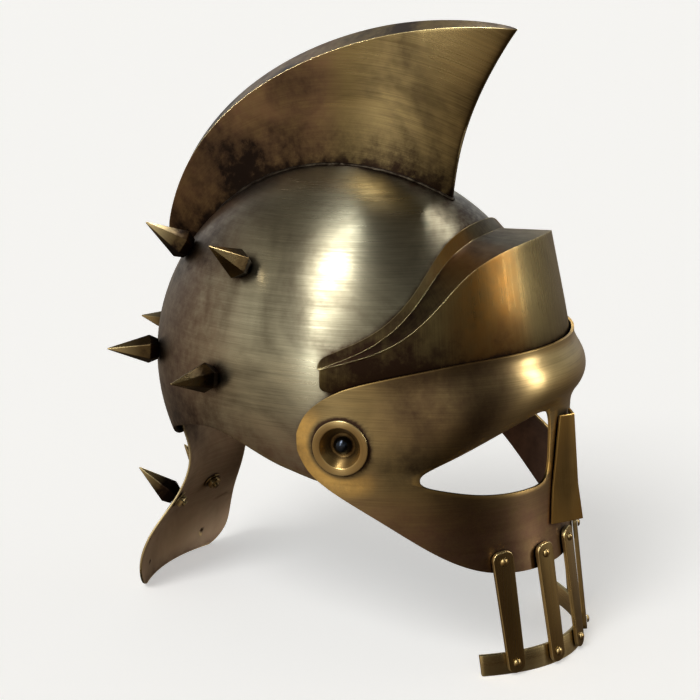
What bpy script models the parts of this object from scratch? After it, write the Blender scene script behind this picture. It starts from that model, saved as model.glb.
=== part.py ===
# Gladiator helmet of sheet brass, standing on its chin bar and its neck guard.
#
# Metres, +Z up, the face towards -Y, the wearer's right side at -X. Heights are counted from
# the bowl's widest ring and lengths from its middle; the last lines set the whole helmet
# down on the floor. A sheet is an open surface at its outer face, thickened inwards.
import math

import bmesh
import bpy
from mathutils import Matrix, Vector

# Fit between pieces that touch
GAP = 0.0003

# Bowl
RING_HEIGHT = 0.158
BOWL_HALF_WIDTH = 0.102
BOWL_HALF_LENGTH = 0.122
BOWL_RISE = 0.119
BOWL_WALL = 0.0015
BOWL_SKIRT = 0.056

# Crest
CREST_LIFT = 0.101
CREST_CROWN = 0.008
CREST_HALF_WIDTH = 0.016
CREST_FOOT_WIDTH_SHARE = 0.82
CREST_WALL = 0.0012
CREST_FRONT_HOLLOW = 0.010
CREST_SINK = 0.006

# Face guard
FACE_WALL = 0.0016
TEMPLE_STANDOFF = 0.0024
BROW_STANDOFF = 0.013
LUG_BACK = 0.020
BROW_TOP = 0.028
BROW_ROLL = 0.0085
EYE_DROP = 0.029
EYE_HALF_HEIGHT = 0.0215
FACE_DROP = 0.098
CHEEK_TUCK = 0.010
JAW_DROP = 0.066
JAW_LEAN_DEG = 9.0

# Forehead plate
FRONTLET_TOP = 0.085
FRONTLET_WALL = 0.0012
FRONTLET_LAP = 0.006
FRONTLET_FLANGE = 0.006
FRONTLET_LEAN_DEG = 13.0
FRONTLET_NARROWING = 0.35

# Nose plate
NASAL_TOP_DROP = 0.015
NASAL_LENGTH = 0.062
NASAL_TOP_HALF_WIDTH = 0.0085
NASAL_LOW_HALF_WIDTH = 0.0165
NASAL_TOP_RIDGE = 0.005
NASAL_LOW_RIDGE = 0.011
NASAL_WALL = 0.0015

# Grille
BAR_COUNT = 5
BAR_PITCH = 0.0255
BAR_TOP_WIDTH = 0.013
BAR_LOW_WIDTH = 0.0105
BAR_CORNER = 0.0047
BAR_THICKNESS = 0.0026
BAR_LAP = 0.014
BAR_FOOT_CLEARANCE = 0.0015
CHIN_BAR_HEIGHT = 0.013
CHIN_BAR_WALL = 0.0026
CHIN_BAR_END = 0.009
BAR_RIVET_RADIUS = 0.0024
BAR_RIVET_RISE = 0.0015
BAR_RIVET_INSET = 0.006

# Temple cups and rivets
CUP_RADIUS = 0.0155
CUP_FLANGE = 0.0035
CUP_FLOOR_RADIUS = 0.0075
CUP_WALL = 0.0012
PIVOT_AHEAD = 0.0455
PIVOT_DROP = 0.020
RIVET_SHANK_RADIUS = 0.0024
RIVET_HEAD_RADIUS = 0.0052
RIVET_TAIL_RADIUS = 0.0050
RIVET_TAIL_THICKNESS = 0.0014

# Neck guard
NECK_WALL = 0.0015
NECK_LAP = 0.015
NECK_FLARE = 0.034
NECK_HALF_SPREAD_DEG = 27.0
NECK_CORNER_LIFT = 0.012
NECK_CORNER_START = 0.65
NECK_CORNER_FALL = 0.5

# Sheet that is cut off level at the floor
FLOOR_TRIM = 0.002

# Spikes
SPIKE_RADIUS = 0.0088
SPIKE_FOOT_RADIUS = 0.0064
SPIKE_FOOT_HEIGHT = 0.0055
SPIKE_LENGTH = 0.030
SPIKE_TIP_RADIUS = 0.0005
SPIKE_RING_RISE = 0.008
SPIKE_UPPER_RISE = 0.068
SPIKE_NAPE_SHARE = 0.52
SPIKE_NAPE_GAP = 0.0007

# Mesh density
BOWL_SEGMENTS = 42
BOWL_RINGS = 12
TURNED_SEGMENTS = 16
BAR_RIVET_SEGMENTS = 8
CHIN_BAR_CELLS = 18
NASAL_CELLS_ACROSS = 4
NASAL_CELLS_UP = 3
SKULL_SEGMENTS = 48
SKULL_RINGS = 36
SHARP_DEG = 38.0

# Bowl's lower edge: degrees from the front, depth below the ring as a share of BOWL_SKIRT
BOWL_EDGE = (
    (0, -0.20), (40, -0.06), (56, 0.62), (70, 0.84), (86, 0.70),
    (108, 0.42), (132, 0.60), (156, 0.92), (180, 1.00),
)

# Crest's ribs, front to rear: share of its length, degrees of its foot and of its top from
# straight up, top's lift as a share of CREST_LIFT, half width as a share
CREST_RIBS = (
    (0.00, -34.0, -27.0, 1.000, 0.16), (0.15, -20.0, -15.5, 0.845, 0.62),
    (0.30, -6.0, -3.0, 0.690, 0.90), (0.45, 8.0, 10.0, 0.565, 1.00),
    (0.60, 22.0, 24.0, 0.470, 0.96), (0.75, 36.0, 38.0, 0.385, 0.82),
    (0.90, 51.0, 53.0, 0.290, 0.54), (1.00, 60.0, 63.0, 0.200, 0.20),
)
CREST_COLUMNS = (0.0, 0.012, 0.09, 0.22, 0.36, 0.51, 0.66, 0.81, 0.94, 0.988, 1.0)
CREST_WALL_ROWS = 3
CREST_TOP_ROWS = 2

# Face guard's edges, nose to lug: share of its quarter turn, then shares of BROW_TOP,
# of EYE_HALF_HEIGHT above and below the eye's middle, and of FACE_DROP
FACE_EDGES = (
    (0.00, 1.00, 1.00, 1.02, 1.00), (0.10, 1.00, 1.00, 1.06, 1.01),
    (0.26, 0.99, 0.84, 1.08, 1.01), (0.42, 0.96, 0.42, 0.98, 0.98),
    (0.56, 0.88, -0.06, 0.74, 0.88), (0.64, 0.78, -0.30, 0.60, 0.78),
    (0.74, 0.65, -0.22, 0.50, 0.65), (0.88, 0.38, 0.10, 0.32, 0.50),
    (0.93, 0.14, 0.30, 0.18, 0.44), (0.97, -0.10, 0.46, -0.02, 0.37),
    (0.99, -0.34, 0.50, -0.16, 0.30), (1.00, -0.52, 0.49, -0.30, 0.25),
)
FACE_COLUMNS = (0.0, 0.05, 0.10, 0.20, 0.31, 0.42, 0.52, 0.62, 0.74, 0.88, 0.965, 1.0)
EYE_FIRST_COLUMN = 2
EYE_LAST_COLUMN = 7
CHEEK_ROWS = (0.0, 0.08, 0.50)
EYE_ROWS = (0.0, 0.5)
BROW_ROWS = (0.0, 0.14, 0.38, 0.66, 0.86, 1.0)
BROW_SWELL = (0.0, 0.60, 1.0, 0.72, 0.0, 0.0)
BROW_ROLL_FULL = 0.40
BROW_ROLL_END = 0.79

# Forehead plate: share of its half, height of its arch as a share, pull back to the bowl
FRONTLET_ARCH = (
    (0.00, 1.00, 0.00), (0.20, 0.98, 0.00), (0.38, 0.89, 0.00), (0.54, 0.66, 0.02),
    (0.66, 0.36, 0.08), (0.78, 0.15, 0.22), (0.90, 0.06, 0.55), (1.00, 0.03, 0.92),
)
FRONTLET_COLUMNS = (0.0, 0.19, 0.38, 0.52, 0.64, 0.76, 0.88, 1.0)
FRONTLET_FOLDS = (3, 4)
FRONTLET_END = 0.84

# Neck guard, top to floor: share of its drop, share of NECK_FLARE, share of its spread
NECK_ROWS = (
    (0.00, 0.00, 0.90), (0.15, 0.00, 0.87), (0.30, 0.00, 0.86), (0.48, 0.32, 0.92),
    (0.66, 0.76, 1.01), (0.86, 1.00, 1.04), (1.00, 1.00, 1.00),
)
NECK_CELLS = 8

# Spikes: degrees from the rear
SPIKE_RING_DEG = (-72.0, -36.0, 0.0, 36.0, 72.0)
SPIKE_UPPER_DEG = (-75.0, -35.0, 35.0, 75.0)
SPIKE_NAPE_DEG = (-12.0, 12.0)

FLOOR = -RING_HEIGHT


def new_collection(name):
    collection = bpy.data.collections.new(name)
    bpy.context.scene.collection.children.link(collection)
    return collection


def new_metal(name, colour, roughness):
    metal = bpy.data.materials.new(name)
    metal.use_nodes = True
    shader = metal.node_tree.nodes["Principled BSDF"]
    shader.inputs["Base Color"].default_value = (*colour, 1.0)
    shader.inputs["Roughness"].default_value = roughness
    shader.inputs["Metallic"].default_value = 1.0
    metal.diffuse_color = (*colour, 1.0)
    return metal


def add_piece(name, mesh, metal):
    piece = bpy.data.objects.new(name, mesh)
    parts.objects.link(piece)
    piece.parent = helmet
    if not mesh.materials:
        mesh.materials.append(metal)
    return piece


def add_cutter(name, mesh, placement=None):
    cutter = bpy.data.objects.new(name, mesh)
    cutters.objects.link(cutter)
    cutter.parent = helmet
    if placement is not None:
        cutter.matrix_local = placement
    cutter.hide_render = True
    cutter.display_type = "WIRE"
    return cutter


def finished_mesh(bm, name):
    mesh = bpy.data.meshes.new(name)
    bm.to_mesh(mesh)
    bm.free()
    mesh.shade_smooth()
    mesh.set_sharp_from_angle(angle=math.radians(SHARP_DEG))
    return mesh


def add_subdivision(piece):
    smoother = piece.modifiers.new("smooth_form", "SUBSURF")
    smoother.levels = 1
    smoother.render_levels = 1


def add_wall(piece, thickness):
    wall = piece.modifiers.new("sheet", "SOLIDIFY")
    wall.thickness = thickness
    wall.offset = -1.0
    wall.use_even_offset = True


def add_cut(piece, cutter):
    cut = piece.modifiers.new("cut_by_" + cutter.name, "BOOLEAN")
    cut.operation = "DIFFERENCE"
    cut.solver = "EXACT"
    cut.object = cutter


def blend(rows, at):
    """Reads a table smoothly: its first column is the place, the others are the values."""
    places = [row[0] for row in rows]
    last = len(rows) - 1
    at = min(max(at, places[0]), places[last])
    low = max(index for index in range(last) if places[index] <= at)
    span = places[low + 1] - places[low]
    share = (at - places[low]) / span

    def slope(index, column):
        before = max(index - 1, 0)
        after = min(index + 1, last)
        return (rows[after][column] - rows[before][column]) / (places[after] - places[before])

    values = []
    for column in range(1, len(rows[0])):
        value = rows[low][column] * (2 * share ** 3 - 3 * share ** 2 + 1)
        value += slope(low, column) * span * (share ** 3 - 2 * share ** 2 + share)
        value += rows[low + 1][column] * (3 * share ** 2 - 2 * share ** 3)
        value += slope(low + 1, column) * span * (share ** 3 - share ** 2)
        values.append(value)
    return values


def bent_sheet(cells_across, cells_up, place, is_open=None, fold_rows=(), fold=0.0):
    """A grid bent to place(column, row), without the cells that is_open names, creased along
    its fold rows, and welded where its corners meet."""
    bm = bmesh.new()
    bmesh.ops.create_grid(bm, x_segments=cells_across, y_segments=cells_up, size=1.0)
    column_of = {}
    row_of = {}
    for vertex in bm.verts:
        column_of[vertex] = round((vertex.co.x + 1) / 2 * cells_across)
        row_of[vertex] = round((vertex.co.y + 1) / 2 * cells_up)
    crease = bm.edges.layers.float.new("crease_edge")
    for edge in bm.edges:
        rows = {row_of[vertex] for vertex in edge.verts}
        if len(rows) == 1 and rows.pop() in fold_rows:
            edge[crease] = fold
    for vertex in bm.verts:
        vertex.co = place(column_of[vertex], row_of[vertex])
    if is_open:
        gone = []
        for face in bm.faces:
            column = min(column_of[vertex] for vertex in face.verts)
            row = min(row_of[vertex] for vertex in face.verts)
            if is_open(column, row):
                gone.append(face)
        bmesh.ops.delete(bm, geom=gone, context="FACES")
    bmesh.ops.remove_doubles(bm, verts=bm.verts, dist=0.00001)
    return bm


def cylinder_mesh(name, radius, depth):
    bm = bmesh.new()
    bmesh.ops.create_cone(
        bm, cap_ends=True, segments=TURNED_SEGMENTS, radius1=radius, radius2=radius, depth=depth
    )
    return finished_mesh(bm, name)


def turned_piece(name, profile, metal, segments=TURNED_SEGMENTS):
    """Turns (radius, height) points about Z; they run down the outer side, top to bottom, and
    from a profile that keeps off the axis comes a ring."""
    mesh = bpy.data.meshes.new(name)
    points = [(radius, 0.0, height) for radius, height in profile]
    edges = [(index, index + 1) for index in range(len(points) - 1)]
    if profile[0][0] > 0:
        edges.append((len(points) - 1, 0))
    mesh.from_pydata(points, edges, [])
    piece = add_piece(name, mesh, metal)
    turn = piece.modifiers.new("turn", "SCREW")
    turn.steps = segments
    turn.render_steps = segments
    turn.use_merge_vertices = True
    turn.merge_threshold = 0.00005
    turn.use_smooth_shade = True
    return piece


def seat(origin, outward, up):
    """Placement with its Z outwards and its Y as near to up as that leaves."""
    z_axis = outward.normalized()
    x_axis = up.cross(z_axis).normalized()
    y_axis = z_axis.cross(x_axis)
    turn = Matrix((x_axis, y_axis, z_axis)).transposed()
    return Matrix.Translation(origin) @ turn.to_4x4()


# Bowl: angles count from the front towards +X


def bowl_edge(angle):
    degrees = abs(math.degrees(math.atan2(math.sin(angle), math.cos(angle))))
    return -BOWL_SKIRT * blend(BOWL_EDGE, degrees)[0]


def bowl_point(angle, height, out=0.0):
    """A point at a height, a distance out from the bowl's outer face."""
    rise = BOWL_RISE + out
    girth = math.sqrt(max(1 - (height / rise) ** 2, 0.0))
    across = (BOWL_HALF_WIDTH + out) * girth * math.sin(angle)
    along = -(BOWL_HALF_LENGTH + out) * girth * math.cos(angle)
    return Vector((across, along, height))


def bowl_normal(point):
    return Vector((
        point.x / BOWL_HALF_WIDTH ** 2,
        point.y / BOWL_HALF_LENGTH ** 2,
        point.z / BOWL_RISE ** 2,
    )).normalized()


def bowl_facet_dip():
    """How far the bowl's flat facets fall inside its true curve."""
    half_segment = math.pi / BOWL_SEGMENTS
    half_ring = math.acos(-BOWL_SKIRT / BOWL_RISE) / BOWL_RINGS / 2
    return BOWL_HALF_LENGTH * (2 - math.cos(half_segment) - math.cos(half_ring))


def way_to_bowl(point, inward):
    """Distance from a point outside the bowl to its outer face, along inward."""
    radii = (BOWL_HALF_WIDTH, BOWL_HALF_LENGTH, BOWL_RISE)
    start = Vector([point[axis] / radii[axis] for axis in range(3)])
    step = Vector([inward[axis] / radii[axis] for axis in range(3)])
    half_b = start.dot(step)
    reach = half_b ** 2 - step.dot(step) * (start.dot(start) - 1)
    return (-half_b - math.sqrt(reach)) / step.dot(step)


def make_bowl():
    bm = bmesh.new()
    bmesh.ops.create_uvsphere(
        bm, u_segments=BOWL_SEGMENTS, v_segments=BOWL_RINGS + 1, radius=1.0
    )
    bottom = [vertex for vertex in bm.verts if vertex.co.z < -0.9999]
    bmesh.ops.delete(bm, geom=bottom, context="VERTS")
    for vertex in bm.verts:
        ring = round(math.acos(min(vertex.co.z, 1.0)) / math.pi * (BOWL_RINGS + 1))
        angle = math.atan2(vertex.co.x, -vertex.co.y)
        lowest = math.acos(bowl_edge(angle) / BOWL_RISE)
        vertex.co = bowl_point(angle, BOWL_RISE * math.cos(lowest * ring / BOWL_RINGS))
    bowl = add_piece("bowl", finished_mesh(bm, "bowl"), brass)
    add_wall(bowl, BOWL_WALL)
    return bowl


# Crest: its rows climb the wearer's right wall, cross the top and go down the left wall


def crest_end(degrees, out):
    turn = math.radians(degrees)
    along = (BOWL_HALF_LENGTH + out) * math.sin(turn)
    return Vector((0.0, along, (BOWL_RISE + out) * math.cos(turn)))


def crest_place(column, row):
    last = len(CREST_COLUMNS) - 1
    share = CREST_COLUMNS[last - column]
    foot_deg, top_deg, lift, width = blend(CREST_RIBS, share)
    if column in (0, last):
        width = 0.0
    climbed = min(row, 2 * CREST_WALL_ROWS + CREST_TOP_ROWS - row) / CREST_WALL_ROWS
    climb = min(climbed, 1.0)
    side = (row - CREST_WALL_ROWS) / CREST_TOP_ROWS * 2 - 1
    side = max(-1.0, min(side, 1.0))
    crown = CREST_CROWN * width * (1 - abs(side))
    foot = crest_end(foot_deg, -CREST_SINK)
    point = foot.lerp(crest_end(top_deg, lift * CREST_LIFT + crown), climb)
    point.y += CREST_FRONT_HOLLOW * math.sin(math.pi * climb) * (1 - share) ** 3
    fullness = CREST_FOOT_WIDTH_SHARE + (1 - CREST_FOOT_WIDTH_SHARE) * climb
    point.x = side * width * CREST_HALF_WIDTH * fullness
    return point


def make_crest():
    rims = range(CREST_WALL_ROWS, CREST_WALL_ROWS + CREST_TOP_ROWS + 1)
    rows = 2 * CREST_WALL_ROWS + CREST_TOP_ROWS
    bm = bent_sheet(len(CREST_COLUMNS) - 1, rows, crest_place, fold_rows=rims, fold=0.8)
    crest = add_piece("crest", finished_mesh(bm, "crest"), brass)
    add_subdivision(crest)
    add_wall(crest, CREST_WALL)
    skull = bmesh.new()
    bmesh.ops.create_uvsphere(
        skull, u_segments=SKULL_SEGMENTS, v_segments=SKULL_RINGS, radius=1.0
    )
    radii = (BOWL_HALF_WIDTH + GAP, BOWL_HALF_LENGTH + GAP, BOWL_RISE + GAP)
    bmesh.ops.scale(skull, vec=radii, verts=skull.verts)
    add_cut(crest, add_cutter("skull_form", finished_mesh(skull, "skull_form")))


# Face guard: share runs from 0 at the nose to 1 at a lug, negative on the wearer's right


def face_plan(height):
    """Half width at the lugs and reach ahead of them, at a height."""
    tuck = max(-height - PIVOT_DROP, 0.0) / (FACE_DROP - PIVOT_DROP) * CHEEK_TUCK
    jut = max(-height - JAW_DROP, 0.0) * math.tan(math.radians(JAW_LEAN_DEG))
    half_width = BOWL_HALF_WIDTH + TEMPLE_STANDOFF - tuck
    return half_width, BOWL_HALF_LENGTH + BROW_STANDOFF - LUG_BACK + jut


def face_point(share, height, out=0.0):
    angle = share * math.pi / 2
    half_width, reach = face_plan(height)
    point = Vector((half_width * math.sin(angle), -LUG_BACK - reach * math.cos(angle), height))
    return point + out * face_normal(share, height)


def face_normal(share, height):
    angle = share * math.pi / 2
    half_width, reach = face_plan(height)
    return Vector((reach * math.sin(angle), -half_width * math.cos(angle), 0.0)).normalized()


def face_edges(share):
    """Heights of the top edge, upper lid, lower lid and lower rim."""
    top, lid, sill, rim = blend(FACE_EDGES, abs(share))
    upper_lid = -EYE_DROP + EYE_HALF_HEIGHT * lid
    lower_lid = -EYE_DROP - EYE_HALF_HEIGHT * sill
    return BROW_TOP * top, upper_lid, lower_lid, -FACE_DROP * rim


def face_share_at(across, height):
    half_width, _ = face_plan(height)
    return math.asin(across / half_width) / (math.pi / 2)


def face_place(column, row):
    nose = len(FACE_COLUMNS) - 1
    share = math.copysign(FACE_COLUMNS[abs(column - nose)], column - nose)
    top, lid, sill, rim = face_edges(share)
    swell = 0.0
    if row < len(CHEEK_ROWS):
        height = rim + (sill - rim) * CHEEK_ROWS[row]
    elif row < len(CHEEK_ROWS) + len(EYE_ROWS):
        height = sill + (lid - sill) * EYE_ROWS[row - len(CHEEK_ROWS)]
    else:
        step = row - len(CHEEK_ROWS) - len(EYE_ROWS)
        height = lid + (top - lid) * BROW_ROWS[step]
        fade = (BROW_ROLL_END - abs(share)) / (BROW_ROLL_END - BROW_ROLL_FULL)
        fade = max(0.0, min(fade, 1.0))
        swell = BROW_SWELL[step] * BROW_ROLL * fade * fade * (3 - 2 * fade)
    return face_point(share, height, swell)


def is_eye(column, row):
    nose = len(FACE_COLUMNS) - 1
    outward = column - nose if column >= nose else nose - 1 - column
    beside_nose = EYE_FIRST_COLUMN <= outward < EYE_LAST_COLUMN
    return beside_nose and len(CHEEK_ROWS) <= row < len(CHEEK_ROWS) + len(EYE_ROWS)


def make_face_guard():
    rows = len(CHEEK_ROWS) + len(EYE_ROWS) + len(BROW_ROWS) - 1
    bm = bent_sheet(2 * len(FACE_COLUMNS) - 2, rows, face_place, is_open=is_eye)
    guard = add_piece("face_guard", finished_mesh(bm, "face_guard"), brass)
    add_subdivision(guard)
    add_wall(guard, FACE_WALL)
    return guard


# Forehead plate: up from behind the brow, over a fold and back to a flange on the bowl


def frontlet_place(column, row):
    middle = len(FRONTLET_COLUMNS) - 1
    part_way = FRONTLET_COLUMNS[abs(column - middle)]
    share = math.copysign(part_way, column - middle) * FRONTLET_END
    arch, pull = blend(FRONTLET_ARCH, part_way)
    brow = face_edges(share)[0]
    fold_height = brow + FRONTLET_LAP + (FRONTLET_TOP - brow - FRONTLET_LAP) * arch
    lean = math.tan(math.radians(FRONTLET_LEAN_DEG))
    bowl_angle = share * math.pi / 2
    height = (
        brow - FRONTLET_LAP, brow + FRONTLET_LAP / 4, (brow + fold_height) / 2,
        fold_height, fold_height, fold_height + FRONTLET_FLANGE,
    )[row]
    on_bowl = bowl_point(bowl_angle, height, 2 * (FRONTLET_WALL + GAP))
    if row > FRONTLET_FOLDS[0]:
        return on_bowl
    face = face_point(share, brow, -(FACE_WALL + GAP))
    back = lean * max(height - brow, 0.0)
    face.x *= 1 - FRONTLET_NARROWING * back / BOWL_HALF_LENGTH
    face.y += back
    face.z = height
    return face.lerp(on_bowl, pull)


def make_frontlet():
    cells = 2 * len(FRONTLET_COLUMNS) - 2
    bm = bent_sheet(cells, 5, frontlet_place, fold_rows=FRONTLET_FOLDS, fold=0.65)
    frontlet = add_piece("frontlet", finished_mesh(bm, "frontlet"), brass)
    add_subdivision(frontlet)
    add_wall(frontlet, FRONTLET_WALL)


# Nose plate


def nasal_place(column, row):
    fall = 1 - row / NASAL_CELLS_UP
    across = 2 * column / NASAL_CELLS_ACROSS - 1
    half_width = NASAL_TOP_HALF_WIDTH + (NASAL_LOW_HALF_WIDTH - NASAL_TOP_HALF_WIDTH) * fall
    ridge = NASAL_TOP_RIDGE + (NASAL_LOW_RIDGE - NASAL_TOP_RIDGE) * fall
    height = -NASAL_TOP_DROP - NASAL_LENGTH * fall
    point = face_point(face_share_at(across * half_width, height), height, GAP + NASAL_WALL)
    point.y -= ridge * (1 - abs(across))
    return point


def make_nasal():
    bm = bent_sheet(NASAL_CELLS_ACROSS, NASAL_CELLS_UP, nasal_place)
    nasal = add_piece("nasal", finished_mesh(bm, "nasal"), brass)
    add_wall(nasal, NASAL_WALL)


# Grille


def bar_mesh(length):
    """Lies along Y with its foot at -Y: tapered, with rounded ends."""
    bm = bmesh.new()
    bmesh.ops.create_cube(bm, size=1.0)
    for vertex in bm.verts:
        width = BAR_TOP_WIDTH if vertex.co.y > 0 else BAR_LOW_WIDTH
        vertex.co.x *= width
        vertex.co.y *= length
        vertex.co.z *= BAR_THICKNESS
    corners = [
        edge for edge in bm.edges
        if abs(edge.verts[0].co.z - edge.verts[1].co.z) > BAR_THICKNESS / 2
    ]
    bmesh.ops.bevel(
        bm, geom=corners, offset=BAR_CORNER, segments=3, profile=0.5, affect="EDGES"
    )
    return finished_mesh(bm, "mouth_bar")


def rivet_head_profile(radius, rise):
    steps = 3
    curve = []
    for step in range(steps + 1):
        turn = math.pi / 2 * step / steps
        curve.append((radius * math.sin(turn), rise * math.cos(turn)))
    return curve + [(0.0, 0.0)]


def make_bar(number):
    across = (number - (BAR_COUNT + 1) / 2) * BAR_PITCH
    share = face_share_at(across, -FACE_DROP)
    rim = face_edges(share)[3]
    top = face_point(share, rim + BAR_LAP)
    low = face_point(share, FLOOR + BAR_FOOT_CLEARANCE)
    up = (top - low).normalized()
    side = face_point(share + 0.01, rim) - face_point(share - 0.01, rim)
    outward = side.cross(up).normalized()
    middle = (top + low) / 2 + outward * (GAP + BAR_THICKNESS / 2)
    bar = add_piece(f"mouth_bar_{number}", bar_mesh((top - low).length), brass)
    bar.matrix_local = seat(middle, outward, up)
    ends = (("top", top - up * BAR_RIVET_INSET), ("low", low + up * BAR_RIVET_INSET))
    for where, spot in ends:
        name = f"bar_rivet_{where}_{number}"
        profile = rivet_head_profile(BAR_RIVET_RADIUS, BAR_RIVET_RISE)
        head = turned_piece(name, profile, brass, segments=BAR_RIVET_SEGMENTS)
        head.matrix_local = seat(spot + outward * (2 * GAP + BAR_THICKNESS), outward, up)


def chin_place(column, row):
    across_end = (BAR_COUNT - 1) / 2 * BAR_PITCH + CHIN_BAR_END
    share = (2 * column / CHIN_BAR_CELLS - 1) * face_share_at(across_end, FLOOR)
    return face_point(share, FLOOR + CHIN_BAR_HEIGHT if row else FLOOR - FLOOR_TRIM)


def make_chin_bar():
    bm = bent_sheet(CHIN_BAR_CELLS, 1, chin_place)
    chin_bar = add_piece("chin_bar", finished_mesh(bm, "chin_bar"), brass)
    add_wall(chin_bar, CHIN_BAR_WALL)
    add_cut(chin_bar, floor_slab)


# Temple cups and rivets


def make_temple(name, side, guard, bowl):
    share = math.acos((PIVOT_AHEAD - LUG_BACK) / face_plan(-PIVOT_DROP)[1]) / (math.pi / 2)
    outer = face_point(side * share, -PIVOT_DROP)
    outward = face_normal(side * share, -PIVOT_DROP)
    up = Vector((0.0, 0.0, 1.0))
    to_bowl = way_to_bowl(outer, -outward)
    bowl_out = bowl_normal(outer - outward * to_bowl)
    tilt = outward.angle(bowl_out)
    depth = to_bowl - GAP - CUP_FLOOR_RADIUS * math.tan(tilt)
    dish_radius = CUP_RADIUS - CUP_FLANGE
    hole = RIVET_SHANK_RADIUS + GAP
    cup = turned_piece(f"temple_cup_{name}", (
        (CUP_RADIUS, GAP + CUP_WALL),
        (CUP_RADIUS, GAP),
        (dish_radius, GAP),
        (CUP_FLOOR_RADIUS, -depth),
        (hole, -depth),
        (hole, CUP_WALL - depth),
        (CUP_FLOOR_RADIUS - CUP_WALL / 2, CUP_WALL - depth),
        (dish_radius - CUP_WALL / 2, GAP + CUP_WALL),
    ), brass)
    cup.matrix_local = seat(outer, outward, up)

    floor_top = CUP_WALL - depth + GAP
    tail_clearance = RIVET_TAIL_RADIUS * math.tan(tilt) + GAP + bowl_facet_dip()
    inside = -to_bowl - BOWL_WALL / math.cos(tilt) - tail_clearance
    head = [
        (radius, floor_top + rise)
        for radius, rise in rivet_head_profile(RIVET_HEAD_RADIUS, RIVET_HEAD_RADIUS)[:-1]
    ]
    rivet = turned_piece(f"temple_rivet_{name}", head + [
        (RIVET_SHANK_RADIUS, floor_top),
        (RIVET_SHANK_RADIUS, inside),
        (RIVET_TAIL_RADIUS, inside),
        (RIVET_TAIL_RADIUS, inside - RIVET_TAIL_THICKNESS),
        (0.0, inside - RIVET_TAIL_THICKNESS),
    ], steel)
    rivet.matrix_local = seat(outer, outward, up)

    drill = cylinder_mesh(f"rivet_drill_{name}", hole, 4 * to_bowl)
    add_cut(bowl, add_cutter(f"rivet_drill_{name}", drill, seat(outer, outward, up)))
    punch = cylinder_mesh(f"cup_punch_{name}", dish_radius + GAP, 2 * to_bowl)
    add_cut(guard, add_cutter(f"cup_punch_{name}", punch, seat(outer, outward, up)))


# Neck guard


def neck_point(degrees, fall, lift=0.0):
    """fall is the share of the way from the lap's top down to the floor."""
    flare = blend(NECK_ROWS, fall)[0] * NECK_FLARE
    top = -BOWL_SKIRT + NECK_LAP
    height = top + (FLOOR - top) * fall
    angle = math.pi - math.radians(degrees)
    inside = -(BOWL_WALL + 3 * GAP + bowl_facet_dip())
    point = bowl_point(angle, max(height, -BOWL_SKIRT), inside)
    point.z = height + lift
    outward = Vector((point.x, point.y, 0.0)).normalized()
    return point + outward * flare


def neck_place(column, row):
    last_row = len(NECK_ROWS) - 1
    fall, _, spread = NECK_ROWS[last_row - row]
    across = 1 - 2 * column / NECK_CELLS
    degrees = across * spread * NECK_HALF_SPREAD_DEG
    corner = max(abs(across) - NECK_CORNER_START, 0.0) / (1 - NECK_CORNER_START)
    low_part = max(fall - NECK_CORNER_FALL, 0.0) / (1 - NECK_CORNER_FALL)
    lift = NECK_CORNER_LIFT * corner ** 2 * low_part
    point = neck_point(degrees, fall, lift)
    if row == 0:
        point.z -= FLOOR_TRIM
    return point


def make_neck_guard():
    bm = bent_sheet(NECK_CELLS, len(NECK_ROWS) - 1, neck_place)
    neck_guard = add_piece("neck_guard", finished_mesh(bm, "neck_guard"), brass)
    add_subdivision(neck_guard)
    add_wall(neck_guard, NECK_WALL)
    add_cut(neck_guard, floor_slab)


# Spikes


def spike_mesh():
    bm = bmesh.new()
    foot = bmesh.ops.create_cone(
        bm, cap_ends=True, segments=6, radius1=SPIKE_FOOT_RADIUS, radius2=SPIKE_RADIUS,
        depth=SPIKE_FOOT_HEIGHT,
    )
    bmesh.ops.translate(bm, verts=foot["verts"], vec=(0, 0, SPIKE_FOOT_HEIGHT / 2))
    rim = max((face for face in bm.faces), key=lambda face: face.calc_center_median().z)
    point = bmesh.ops.extrude_face_region(bm, geom=[rim])
    tip = [item for item in point["geom"] if isinstance(item, bmesh.types.BMVert)]
    bmesh.ops.delete(bm, geom=[rim], context="FACES")
    for vertex in tip:
        vertex.co.x *= SPIKE_TIP_RADIUS / SPIKE_RADIUS
        vertex.co.y *= SPIKE_TIP_RADIUS / SPIKE_RADIUS
        vertex.co.z = SPIKE_LENGTH
    bmesh.ops.recalc_face_normals(bm, faces=bm.faces)
    mesh = finished_mesh(bm, "spike")
    mesh.shade_flat()
    mesh.materials.append(brass)
    return mesh


def make_spikes():
    mesh = spike_mesh()
    up = Vector((0.0, 0.0, 1.0))
    rows = (
        ("ring", SPIKE_RING_DEG, SPIKE_RING_RISE),
        ("upper", SPIKE_UPPER_DEG, SPIKE_UPPER_RISE),
    )
    for row, turns, rise in rows:
        for number, degrees in enumerate(turns, 1):
            foot = bowl_point(math.pi - math.radians(degrees), rise)
            outward = bowl_normal(foot)
            spike = add_piece(f"spike_{row}_{number}", mesh, brass)
            spike.matrix_local = seat(foot + outward * GAP, outward, up)
    for number, degrees in enumerate(SPIKE_NAPE_DEG, 1):
        foot = neck_point(degrees, SPIKE_NAPE_SHARE)
        above = neck_point(degrees, SPIKE_NAPE_SHARE - 0.02)
        below = neck_point(degrees, SPIKE_NAPE_SHARE + 0.02)
        nearer = neck_point(degrees - 1, SPIKE_NAPE_SHARE)
        farther = neck_point(degrees + 1, SPIKE_NAPE_SHARE)
        outward = (nearer - farther).cross(above - below).normalized()
        spike = add_piece(f"spike_nape_{number}", mesh, brass)
        spike.matrix_local = seat(foot + outward * SPIKE_NAPE_GAP, outward, up)


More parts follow.
